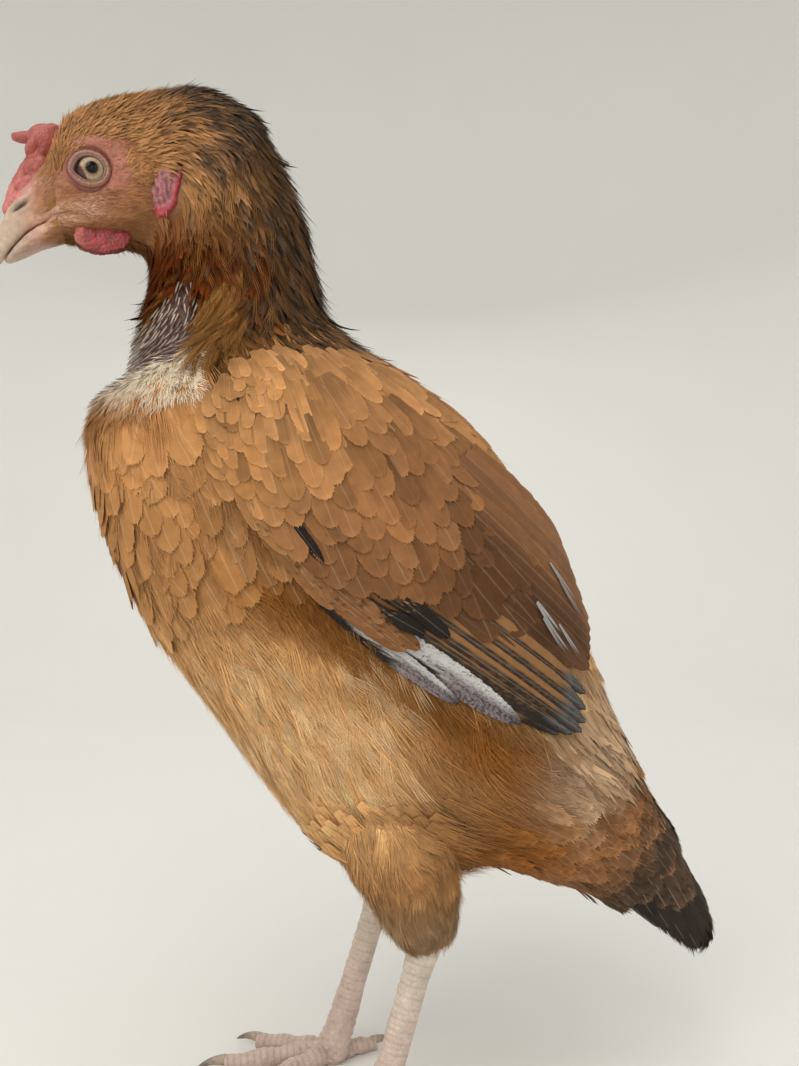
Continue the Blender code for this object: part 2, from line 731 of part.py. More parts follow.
def make_shank(side):
    """The scaled shank with its plates standing out in front, from hock to ankle."""
    hock = np.array((HOCK[0], side * HOCK[1], HOCK[2]))
    ankle = np.array((ANKLE[0], side * ANKLE[1], ANKLE[2]))
    way = ankle - hock
    length = np.linalg.norm(way)
    way_unit = way / length
    across = np.array((0.0, 1.0, 0.0))
    across -= way_unit * np.dot(across, way_unit)
    across /= np.linalg.norm(across)
    front = np.cross(across, way_unit)
    if front[0] > 0:
        front = -front
    plates = 10
    start = -4.0
    begin, end = 12.0, length - 1.0
    steps = [start, 2.0, 8.0]
    for k in range(plates):
        a = begin + (end - begin) * k / plates
        b = begin + (end - begin) * (k + 1) / plates
        steps += [a + 0.15, b - 0.25]
    steps.append(length)
    rings = []
    for distance in steps:
        share = min(max(distance / length, 0.0), 1.0)
        top = max(0.0, 1 - distance / 16.0)
        foot = max(0.0, share - 0.78) / 0.22
        wide = 5.0 + 2.2 * top + 1.5 * foot
        deep = 5.4 + 1.8 * top + 0.8 * foot
        plate = 0.0
        if distance > begin:
            plate = 0.75 * scute_profile((distance - begin) / (end - begin + 0.01), plates)
        points = []
        for k in range(10):
            a = 2 * math.pi * k / 10
            facing = math.cos(a)
            swell = plate * max(0.0, facing) ** 0.5
            points.append(
                hock + way_unit * distance
                + across * (wide + swell) * math.sin(a)
                + front * (deep + swell) * facing
            )
        rings.append(points)
    return combine(loft("shank", rings), [thigh_body(side, GAP)], "DIFFERENCE")


def toe_line(side, name):
    """Start, heading and sizes of a toe on one foot."""
    heading, length, radius, claw = TOES[name]
    turn = math.radians(heading)
    way = np.array((-math.cos(turn), side * math.sin(turn), 0.0))
    start = np.array((BALL[0], side * BALL[1], 0.0))
    return start, way, length, radius, claw


def make_toe(side, name):
    """A toe with pads beneath, flat where it rests, and a row of raised plates on top."""
    start, way, length, radius, _ = toe_line(side, name)
    across = np.array((-way[1], way[0], 0.0))
    plates = max(3, round(length / 7.0))
    marks = [-3.0, 2.0]
    for k in range(plates):
        marks += [4 + (length - 4) * (k + 0.08) / plates, 4 + (length - 4) * (k + 0.92) / plates]
    rings = []
    for distance in marks:
        share = min(max(distance / length, 0.0), 1.0)
        pads = 1 + 0.09 * math.cos(2 * math.pi * 3 * share)
        wide = radius * (1 - 0.34 * share) * pads
        middle = radius * (0.85 - 0.25 * share)
        plate = 0.0
        if distance > 4:
            plate = 0.6 * scute_profile((distance - 4) / (length - 4 + 0.01), plates)
        points = []
        for k in range(8):
            a = 2 * math.pi * (k + 0.5) / 8
            swell = plate * max(0.0, math.cos(a)) ** 0.5
            p = start + way * distance + across * (wide + swell * 0.5) * math.sin(a)
            p = p + np.array((0, 0, middle + (wide + swell) * math.cos(a)))
            p[2] = max(p[2], 0.0)
            points.append(p)
        rings.append(points)
    return loft("toe", rings)


def make_foot(side):
    """The ball of the foot and its four toes, cut flat above where the shank stands on it."""
    ankle = np.array((ANKLE[0], side * ANKLE[1], ANKLE[2]))
    hock = np.array((HOCK[0], side * HOCK[1], HOCK[2]))
    up = (hock - ankle) / np.linalg.norm(hock - ankle)
    ball = np.array((BALL[0], side * BALL[1], BALL[2]))
    sole = np.array((BALL[0] - 1, side * BALL[1], 0.0))
    points = [ankle - up * GAP, (ankle + ball) / 2, ball, sole + np.array((0, 0, 2.5)), sole]
    sizes = ((6.4, 6.0), (7.4, 6.8), (8.2, 7.6), (7.8, 7.2), (6.0, 5.6))
    rings = []
    across = np.array((0.0, 1.0, 0.0))
    front = np.array((-1.0, 0.0, 0.0))
    lean = np.array((-up[2], 0.0, up[0]))
    for i, (point, (wide, deep)) in enumerate(zip(points, sizes)):
        facing = lean if i == 0 else front * 0.9 + lean * 0.1
        ring_points = []
        for k in range(12):
            a = 2 * math.pi * k / 12
            p = point + across * wide * math.sin(a) + facing * deep * math.cos(a)
            p[2] = max(p[2], 0.0) if i else p[2]
            ring_points.append(p)
        rings.append(ring_points)
    body = loft("foot", rings)
    return combine(body, [make_toe(side, name) for name in TOES], "UNION")


def make_claw(side, name):
    """A claw, curved down from the end of its toe and clear of the floor."""
    start, way, length, radius, claw = toe_line(side, name)
    across = np.array((-way[1], way[0], 0.0))
    base_radius = radius * 0.48
    rings = []
    for step in range(4):
        share = step / 3
        middle_z = radius * 0.95 + 0.8 * math.sin(math.pi * share * 0.8) - 2.6 * share ** 2
        size = base_radius * (1 - share) ** 0.7 + 0.25
        middle = start + way * (length + GAP + claw * share) + np.array((0, 0, middle_z))
        points = []
        for k in range(6):
            a = 2 * math.pi * k / 6
            p = middle + across * size * 0.8 * math.sin(a) + np.array((0, 0, size * math.cos(a)))
            p[2] = max(p[2], 0.4)
            points.append(p)
        rings.append(points)
    return loft("claw", rings)


def main():
    clear_scene()
    material = {name: make_material(name) for name in MATERIALS}
    finish(make_head(), "head", material["face_skin"])
    finish(make_upper_bill(), "upper_bill", material["bill_horn"])
    finish(make_lower_bill(), "lower_bill", material["bill_horn"])
    finish(make_comb(), "comb", material["comb_skin"])
    finish(make_neck(), "neck", material["hackle"])
    finish(make_torso(), "torso", material["plumage"])
    finish(make_tail(), "tail", material["tail_feather"])
    for label, side in SIDES.items():
        finish(make_eye(side), f"eye_{label}", material["eye"])
        finish(make_wattle(side), f"wattle_{label}", material["comb_skin"])
        finish(make_earlobe(side), f"earlobe_{label}", material["comb_skin"])
        finish(make_wing(side), f"wing_{label}", material["plumage"])
        finish(make_thigh(side), f"thigh_{label}", material["plumage"])
        finish(make_shank(side), f"shank_{label}", material["leg_scale"])
        finish(make_foot(side), f"foot_{label}", material["leg_scale"])
        for toe in TOES:
            finish(make_claw(side, toe), f"claw_{toe}_{label}", material["claw_horn"])


main()
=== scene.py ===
"""Aseel hen, life-size and still: skin, plumage, head, bill, legs and feet over the solid frame.

Body sections, bill and feather rows are in millimetres in the plane of symmetry, X then Z, as the
solids have them, and the right side is +Y. Each mesh is scaled to metres as it is made.
"""

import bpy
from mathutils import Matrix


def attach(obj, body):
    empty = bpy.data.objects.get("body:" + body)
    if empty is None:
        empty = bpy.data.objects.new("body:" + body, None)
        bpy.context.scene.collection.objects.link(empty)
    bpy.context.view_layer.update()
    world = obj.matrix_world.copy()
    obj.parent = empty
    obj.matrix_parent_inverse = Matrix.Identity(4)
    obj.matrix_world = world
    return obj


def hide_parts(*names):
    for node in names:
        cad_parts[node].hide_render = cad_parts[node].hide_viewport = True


bl_info = {
    "name": "Aseel Hen",
    "version": (1, 0, 0),
    "blender": (4, 5, 0),
    "location": "View3D > Sidebar > Aseel Hen",
    "description": "Dresses the solid frame of an aseel hen with skin, feathers, bill and scaled legs",
    "category": "Object",
}

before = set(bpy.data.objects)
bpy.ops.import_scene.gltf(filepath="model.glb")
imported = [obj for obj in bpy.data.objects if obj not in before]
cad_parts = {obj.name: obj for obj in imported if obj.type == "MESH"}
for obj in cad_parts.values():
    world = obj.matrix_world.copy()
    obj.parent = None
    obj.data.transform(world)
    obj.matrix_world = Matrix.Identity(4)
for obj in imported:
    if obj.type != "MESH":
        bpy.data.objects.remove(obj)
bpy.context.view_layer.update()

import math

import bmesh
import bpy
import numpy as np
from bpy.props import FloatProperty, FloatVectorProperty, PointerProperty
from mathutils import Euler, Vector

MM = 0.001
# How wide a feather's own patch is on the OFBake unwrap.
PATCH_SIZE = 0.003
SIDES = {"left": -1, "right": 1}

# Sections through head, neck and body: back point, front point, half width, broadness of the back.
STATIONS = {
    "face": ((-137.5, 389), (-134, 354.5), 10.5, 0.0),
    "brow": ((-131, 402), (-124, 354.5), 14.5, 0.05),
    "eye": ((-117, 411), (-112, 354.5), 16.5, -0.05),
    "cheek": ((-98, 416), (-102, 353), 19, -0.08),
    "occiput": ((-77, 420), (-98, 348), 22, -0.08),
    "nape": ((-57, 411), (-98, 337), 24, -0.05),
    "throat": ((-45, 392), (-102, 324), 25, 0.0),
    "neck": ((-36, 370), (-104, 311), 27, 0.0),
    "crop": ((-31, 348), (-107, 301), 31, 0.0),
    "withers": ((-25, 328), (-119, 291), 38, 0.05),
    "shoulder": ((-9, 315), (-123, 275), 48, 0.08),
    "breast": ((8, 305), (-119, 253), 55, 0.1),
    "back": ((30, 289), (-110, 226), 59, 0.1),
    "keel": ((50, 267), (-94, 196), 60, 0.1),
    "saddle": ((67, 240), (-72, 166), 59, 0.08),
    "flank": ((80, 212), (-51, 136), 57, 0.04),
    "thigh": ((91, 187), (-29, 112), 53, 0.0),
    "belly": ((99, 167), (4, 101), 46, 0.0),
    "vent": ((108, 148), (40, 98), 37, 0.0),
    "rump": ((116, 131), (68, 89), 28, 0.0),
    "tail_root": ((126, 116), (90, 81), 20, -0.1),
    "tail_coverts": ((138, 98), (108, 70), 13, -0.2),
    "tail_middle": ((149, 76), (125, 58), 9, -0.2),
    "tail_tip": ((156, 58), (142, 46), 6, -0.2),
}
BODY_ROWS = np.array([(*b, *f, w, r) for b, f, w, r in STATIONS.values()], float)

UPPER_BILL = (
    ((-138, 387), (-136.6, 361), 10),
    ((-144, 379), (-143, 357.6), 8.6),
    ((-150, 369), (-148.3, 352.6), 6.8),
    ((-154.8, 360), (-151.7, 348.8), 4.8),
    ((-157.8, 350.5), (-154.8, 344.8), 2.8),
    ((-158, 343.5), (-156.6, 342.2), 0.8),
)
LOWER_BILL = (
    ((-136.0, 361.2), (-134.4, 353.8), 9.2),
    ((-142.4, 357.6), (-141.2, 350.4), 7.7),
    ((-147.6, 352.9), (-147.6, 346.8), 5.7),
    ((-151.0, 348.9), (-151.2, 345.2), 3.2),
    ((-153.0, 346.6), (-152.9, 345.6), 0.8),
)
GAPE = ((-142.0, 357.8), (-136.7, 361.3), (-130.0, 363.7), (-123.0, 363.4))
NOSTRIL = (-146.8, 365.6)
EYE_CENTRE = (-121.0, 379.5)
EYE_OUT = 10.4
LID_OPENING = 4.8
LID_EDGE = 7.5
LOBE_CENTRE = (-91.0, 18.6, 372.5)
COMB_RIDGE = ((-144.6, 381.6), (-148.6, 374.4), (-151.2, 367.6))

# The folded wing, along its own axis from the bend: p to the tip, q up to the back.
WING_BEND = (-78, 285)
WING_AXIS = (0.797, -0.604)
WING_LOWER_EDGE = ((0, -4), (25, -22), (60, -31), (120, -33), (150, -31), (170, -23), (195, -8))
WING_UPPER_EDGE = ((0, 27), (20, 46), (65, 60), (110, 53), (145, 43), (185, 19), (200, 6))
FLIGHT_LINE = ((88, -27), (94, -18), (110, -11), (127, -6), (145, -2), (167, 2), (187, 4))
WING_FRONT = 5
WING_PAD_END = 126
WING_PAD_THICKNESS = 7.5
WING_EDGE_THICKNESS = 3.0

# The tail, from the top of its root: a along its upper edge, c down from that edge.
TAIL_ORIGIN = (124, 121)
TAIL_AXIS = (0.506, -0.863)
TAIL_TIPS = ((73, 5), (79, 9), (80, 13), (75, 17), (67, 21), (58, 25), (47, 29))

HOCK = (8, 35, 80)
ANKLE = (-10, 36, 22)
BALL = (-15, 36, 9)
# Toes: heading in degrees outwards from straight ahead, length, radius at the ball, claw length.
TOES = {
    "inner": (-26, 36, 5.0, 11),
    "middle": (2, 50, 5.2, 12),
    "outer": (32, 38, 4.8, 11),
    "hind": (168, 20, 4.4, 10),
}

# Colours of skin and feathers, linear RGB, each with what it paints.
COLOURS = {
    "crown": ("Short feathers of the crown", (0.48, 0.235, 0.095)),
    "nape_dark": ("Dark feathers down the nape", (0.075, 0.050, 0.034)),
    "neck_red": ("Red-brown hackles of the neck", (0.12, 0.024, 0.001)),
    "hackle_gold": ("Golden strands of the hackle", (0.26, 0.115, 0.03)),
    "down_gold": ("Pale strands low on the belly", (0.95, 0.70, 0.42)),
    "ear_gold": ("Tuft over the ear", (0.45, 0.215, 0.09)),
    "lore": ("Feathered skin before the eye", (0.40, 0.175, 0.085)),
    "cheek": ("Bristles of the cheek", (0.40, 0.18, 0.075)),
    "breast": ("Breast feathers", (0.56, 0.27, 0.10)),
    "cream": ("Down under the bare neck patch", (0.98, 0.83, 0.63)),
    "wing_gold": ("Coverts at the bend of the wing", (0.47, 0.228, 0.086)),
    "wing_brown": ("Coverts to the rear of the wing", (0.235, 0.106, 0.043)),
    "wing_dark": ("Darkest coverts and secondaries", (0.094, 0.042, 0.019)),
    "belly": ("Loose feathers of the belly", (0.82, 0.47, 0.20)),
    # flank is a dark colour that paints shade: the shadow on the flank under the wing, and under the tail.
    "flank": ("Shaded flank and under the tail", (0.27, 0.086, 0.006)),
    "thigh": ("Feathers of the thigh", (0.44, 0.22, 0.085)),
    "hock": ("Feathers over the hock", (0.34, 0.21, 0.11)),
    "rump": ("Rump feathers", (0.46, 0.30, 0.18)),
    "tail_black": ("Steering feathers and black quills", (0.022, 0.016, 0.013)),
    "tail_brown": ("Coverts of the tail", (0.075, 0.048, 0.03)),
    "white": ("White flight feathers", (0.78, 0.76, 0.74)),
    "skin_pink": ("Bare skin round the eye", (0.40, 0.14, 0.09)),
    "skin_pale": ("Pale skin at the mouth", (0.62, 0.36, 0.26)),
    "skin_crimson": ("Wattles", (0.30, 0.042, 0.042)),
    "skin_mauve": ("Middle of the ear lobes", (0.32, 0.11, 0.115)),
    "pin_skin": ("Bare patch on the neck", (0.13, 0.058, 0.045)),
    "quill": ("Sheaths of the growing feathers", (0.60, 0.50, 0.42)),
}


def smooth_step(low, high, at):
    share = np.clip((at - low) / (high - low), 0.0, 1.0)
    return share * share * (3 - 2 * share)


def mix(a, b, share):
    """Colours a and b mixed by a share for each point."""
    return a + (b - a) * np.asarray(share, float)[..., None]


def colour(name):
    return np.array(getattr(bpy.context.scene.hen_colours, name))


def coordinates(points):
    """X, the distance from the plane of symmetry, and Z."""
    return points[..., 0], np.abs(points[..., 1]), points[..., 2]


def rows_at(rows, t):
    """Rows of numbers at places t along the rows, on a Catmull-Rom curve through them."""
    t = np.asarray(t, float)
    i = np.clip(np.floor(t).astype(int), 0, len(rows) - 2)
    f = (t - i)[..., None]
    padded = np.vstack((2 * rows[0] - rows[1], rows, 2 * rows[-1] - rows[-2]))
    before, a, b, after = padded[i], padded[i + 1], padded[i + 2], padded[i + 3]
    bend = 2 * before - 5 * a + 4 * b - after
    twist = 3 * a - before - 3 * b + after
    return a + 0.5 * f * (b - before + f * (bend + f * twist))


def section_points(rows, place, phi, swell=0.0):
    """Points of a lofted form: phi is 0 at the back and pi at the front, and +Y is the right."""
    row = rows_at(rows, place)
    back, front = row[..., 0:2], row[..., 2:4]
    middle, arm = (back + front) / 2, (back - front) / 2
    height = np.linalg.norm(arm, axis=-1, keepdims=True)
    swell = np.asarray(swell, float)
    arm = arm * (height + swell[..., None]) / height
    broad = 1 + row[..., 5] * np.cos(phi)
    across = (row[..., 4] + swell) * np.sin(phi) * broad
    spot = middle + arm * np.cos(phi)[..., None]
    return np.stack((spot[..., 0], across, spot[..., 1]), -1)


def body_points(place, phi, swell=0.0):
    place, phi = np.broadcast_arrays(np.asarray(place, float), np.asarray(phi, float))
    return section_points(BODY_ROWS, place, phi, np.broadcast_to(swell, place.shape))


def between(knots, at):
    return np.interp(at, [k[0] for k in knots], [k[1] for k in knots])


def wing_to_side(p, q):
    ax, az = WING_AXIS
    return WING_BEND[0] + ax * p - az * q, WING_BEND[1] + az * p + ax * q


def side_to_wing(x, z):
    ax, az = WING_AXIS
    dx, dz = x - WING_BEND[0], z - WING_BEND[1]
    return ax * dx + az * dz, -az * dx + ax * dz


def tail_to_side(a, c):
    ax, az = TAIL_AXIS
    return TAIL_ORIGIN[0] + ax * a + az * c, TAIL_ORIGIN[1] + az * a - ax * c


def locate(x, z):
    """The place and turn on the body that show at x, z from the side."""
    low = np.full(x.shape, 8.3)
    high = np.full(x.shape, 23.0)
    for _ in range(26):
        middle = (low + high) / 2
        row = rows_at(BODY_ROWS, middle)
        dx, dz = row[..., 0] - row[..., 2], row[..., 1] - row[..., 3]
        past = dx * (z - row[..., 3]) - dz * (x - row[..., 2]) > 0
        high = np.where(past, middle, high)
        low = np.where(past, low, middle)
    row = rows_at(BODY_ROWS, low)
    arm = (row[..., 0:2] - row[..., 2:4]) / 2
    spot = np.stack((x, z), -1) - (row[..., 0:2] + row[..., 2:4]) / 2
    share = (spot * arm).sum(-1) / (arm * arm).sum(-1)
    return low, np.arccos(np.clip(share, -0.985, 0.992))


def unit(vectors):
    return vectors / np.maximum(np.linalg.norm(vectors, axis=-1, keepdims=True), 1e-9)


class Sheet:
    """A curved sheet read from a grid of points, with coordinates u and v, its ways and normal."""

    def __init__(self, us, vs, points, outward, round_v=False):
        self.us, self.vs, self.points = us, vs, points
        self.round_v = round_v
        self.way_u = np.gradient(points, us, axis=0)
        self.way_v = np.gradient(points, vs, axis=1)
        normal = unit(np.cross(self.way_u, self.way_v))
        flip = np.sign((normal * outward).sum(-1, keepdims=True))
        self.normal = normal * np.where(flip == 0, 1, flip)

    def read(self, grid, u, v):
        if self.round_v:
            v = np.mod(v, 2 * np.pi)
        i = np.clip((u - self.us[0]) / (self.us[1] - self.us[0]), 0, len(self.us) - 1.001)
        j = np.clip((v - self.vs[0]) / (self.vs[1] - self.vs[0]), 0, len(self.vs) - 1.001)
        a, b = i.astype(int), j.astype(int)
        f, g = (i - a)[..., None], (j - b)[..., None]
        low = grid[a, b] * (1 - g) + grid[a, b + 1] * g
        high = grid[a + 1, b] * (1 - g) + grid[a + 1, b + 1] * g
        return low * (1 - f) + high * f

    def spots(self, roots):
        return self.read(self.points, roots[:, 0], roots[:, 1])

    def at(self, u, v):
        """Point, unit way along u, unit way square to it, normal, and how to step in u and v."""
        point = self.read(self.points, u, v)
        way_u = self.read(self.way_u, u, v)
        way_v = self.read(self.way_v, u, v)
        normal = unit(self.read(self.normal, u, v))
        long_u = np.maximum(np.linalg.norm(way_u, axis=-1), 1e-6)
        long_v = np.maximum(np.linalg.norm(way_v, axis=-1), 1e-6)
        along = way_u / long_u[..., None]
        lean = (along * way_v).sum(-1) / long_v
        square = np.sqrt(np.maximum(1 - lean * lean, 0.05))
        aside = unit(way_v / long_v[..., None] - along * lean[..., None])
        return point, along, aside, normal, (long_u, long_v, lean, square)


def body_sheet():
    us = np.linspace(0, 23, 461)
    vs = np.linspace(-0.2, 2 * np.pi + 0.2, 150)
    grid_u, grid_v = np.meshgrid(us, vs, indexing="ij")
    points = body_points(grid_u, grid_v)
    middle = body_points(us, np.zeros(len(us))) + body_points(us, np.full(len(us), np.pi))
    outward = points - middle[:, None, :] / 2
    return Sheet(us, vs, points, outward, round_v=True)


def face_sheet():
    """The skin of the head itself, for the short bristles of the face."""
    us = np.linspace(-0.35, 5, 300)
    vs = np.linspace(-0.2, 2 * np.pi + 0.2, 220)
    points = skin_points(*np.meshgrid(us, vs, indexing="ij"))
    middle = body_points(us, np.zeros(len(us))) + body_points(us, np.full(len(us), np.pi))
    return Sheet(us, vs, points, points - middle[:, None, :] / 2, round_v=True)


def bill_sheet(upper):
    us = np.linspace(-0.5, 3, 60)
    vs = np.linspace(-0.2, 2 * np.pi + 0.2, 120)
    points, out = bill_points(upper, *np.meshgrid(us, vs, indexing="ij"))
    return Sheet(us, vs, points, out, round_v=True)


def side_sheet(side, us, vs, to_side):
    """A sheet over one side of the body, in wing or tail coordinates."""
    grid_u, grid_v = np.meshgrid(us, vs, indexing="ij")
    x, z = to_side(grid_u, grid_v)
    place, phi = locate(x, z)
    points = body_points(place, phi)
    points[..., 1] *= side
    centre = (body_points(place, 0 * phi) + body_points(place, 0 * phi + np.pi)) / 2
    return Sheet(us, vs, points, points - centre)


def thigh_middle(side, share):
    top = np.array((-14.0, side * 28, 138))
    hock = np.array((HOCK[0], side * HOCK[1], HOCK[2]), float)
    bulge = np.stack((3 * np.sin(np.pi * share), 0 * share, 0 * share), -1)
    return top + (hock - top) * share[..., None] + bulge


THIGH_PLACES = (0.0, 0.25, 0.45, 0.62, 0.78, 0.92, 1.03, 1.1)
THIGH_SIZES = ((13, 16), (18.5, 21), (20, 22), (18, 20), (15, 17), (12.5, 14.5), (10, 11.5), (5, 6))


def thigh_sheet(side, inset=0.0):
    us = np.linspace(0, 1.1, 56)
    vs = np.linspace(-0.2, 2 * np.pi + 0.2, 74)
    wide = np.interp(us, THIGH_PLACES, [s[0] for s in THIGH_SIZES]) - inset
    deep = np.interp(us, THIGH_PLACES, [s[1] for s in THIGH_SIZES]) - inset
    middle = thigh_middle(side, us)
    ahead = unit(np.gradient(middle, us, axis=0))
    across = unit(np.array((0.0, 1.0, 0.0)) - ahead * ahead[:, 1:2])
    front = unit(np.cross(across, ahead))
    front *= -np.sign(front[:, 0:1])
    round_ = across[:, None, :] * (wide[:, None] * np.sin(vs))[..., None]
    round_ = round_ + front[:, None, :] * (deep[:, None] * np.cos(vs))[..., None]
    return Sheet(us, vs, middle[:, None, :] + round_, round_, round_v=True)


def walk(sheet, u, v, turn, length, steps):
    """Follows the sheet from each root along its lie: points, ways and normals at even steps."""
    u, v = np.array(u, float), np.array(v, float)
    cos, sin = (np.broadcast_to(f(np.asarray(turn, float)), u.shape) for f in (np.cos, np.sin))
    made = []
    for _ in range(steps):
        point, along, aside, normal, (long_u, long_v, lean, square) = sheet.at(u, v)
        made.append((point, along * cos[:, None] + aside * sin[:, None], normal))
        step = length / (steps - 1)
        u = u + (cos - sin * lean / square) * step / long_u
        v = v + sin / square * step / long_v
    return [np.stack(values, 1) for values in zip(*made)]


class Pattern:
    """One feather's mesh in its own terms: along the shaft, across in half widths, and height."""

    def __init__(self, vertices, faces):
        self.vertices = np.array(vertices, float)
        self.faces = np.array(faces, int)


def leaf(rows, columns, root, widest, point, cup, fringe, seed, notch=0.10, fray=0.0):
    """A rounded vane: rows along the shaft, edges bent down, the rim frayed by loose barbs."""
    draw = np.random.default_rng(seed)
    vertices, faces = [], []
    shares = 1 - (1 - np.linspace(0, 1, rows)) ** 1.7
    for i, share in enumerate(shares):
        grown = root + (1 - root) * math.sin(min(share / widest, 1.0) * math.pi / 2)
        past = max(0.0, (share - widest) / (1 - widest))
        half = grown * max(0.0, 1 - past ** point) ** 0.5
        half = max(half, 0.06)
        for c in np.linspace(-1, 1, columns):
            ragged = 1 + notch * draw.uniform(-1, 0.4) * (abs(c) > 0.99 and share > 0.3)
            along = share + (0.06 * abs(c) * (1 - share) + fringe * draw.uniform(-1, 1)) * (0 < i < rows - 1)
            vertices.append((along, c * half * ragged, -cup * (c * half) ** 2 + 0.05 * (abs(c) < 0.01)))
    for i in range(rows - 1):
        for j in range(columns - 1):
            a = i * columns + j
            faces += [(a, a + 1, a + columns + 1), (a, a + columns + 1, a + columns)]
    for i in range(rows - 1):
        for edge, aside in ((0, -1), (columns - 1, 1)):
            if fray and shares[i] > 0.2:
                a, b, reach = i * columns + edge, (i + 1) * columns + edge, fray * draw.uniform(0.3, 1.0)
                along = (vertices[a][0] + vertices[b][0]) / 2 + 0.5 * reach
                vertices.append((along, vertices[b][1] + aside * reach, vertices[b][2]))
                faces.append((a, len(vertices) - 1, b) if aside > 0 else (len(vertices) - 1, a, b))
    return Pattern(vertices, faces)


def tuft(count, spread=0.9, thick=0.05, seed=0):
    """A loose tuft: strands that part from one root, each drawn out to a point."""
    draw = np.random.default_rng(seed)
    vertices, faces = [], []
    for k in range(count):
        aside = spread * (2 * (k + draw.uniform(0.1, 0.9)) / count - 1)
        reach = draw.uniform(0.6, 1.0) * (1 - 0.25 * abs(aside))
        half, rise = thick * draw.uniform(0.7, 1.3), draw.uniform(-0.12, 0.12)
        first = len(vertices)
        for along, out, wide in ((0, 0.4, 0.8), (0.35, 0.7, 1.0), (0.7, 0.92, 0.7)):
            for edge in (-1, 1):
                vertices.append((along * reach, aside * out + edge * half * wide, rise * along))
        vertices.append((reach, aside, rise))
        for a in (first, first + 2):
            faces += [(a, a + 1, a + 3), (a, a + 3, a + 2)]
        faces.append((first + 4, first + 5, first + 6))
    return Pattern(vertices, faces)


def lance(rows, split):
    """A narrow hackle: three columns, drawn out to one point or to a split one."""
    vertices, faces = [], []
    for share in np.linspace(0, 1, rows)[:-1]:
        half = (0.35 + 0.65 * math.sin(min(share / 0.4, 1) * math.pi / 2)) * (1 - share ** 2.6) ** 0.7
        vertices += [(share + 0.03, -half, -0.1 * half), (share, 0, 0.05), (share + 0.03, half, -0.1 * half)]
    for i in range(rows - 2):
        a = 3 * i
        faces += [(a, a + 1, a + 4), (a, a + 4, a + 3), (a + 1, a + 2, a + 5), (a + 1, a + 5, a + 4)]
    a, n = 3 * (rows - 2), len(vertices)
    vertices += [(1 - split, -0.12, 0), (1, 0.1, 0)]
    faces += [(a, a + 1, n), (a + 1, n + 1, n), (a + 1, a + 2, n + 1)]
    return Pattern(vertices, faces)


def bristle():
    return Pattern([(0, -1, 0), (0, 1, 0), (0.55, -0.7, 0.1), (0.55, 0.7, 0.1), (1, 0, 0)],
                   [(0, 1, 3), (0, 3, 2), (2, 3, 4)])


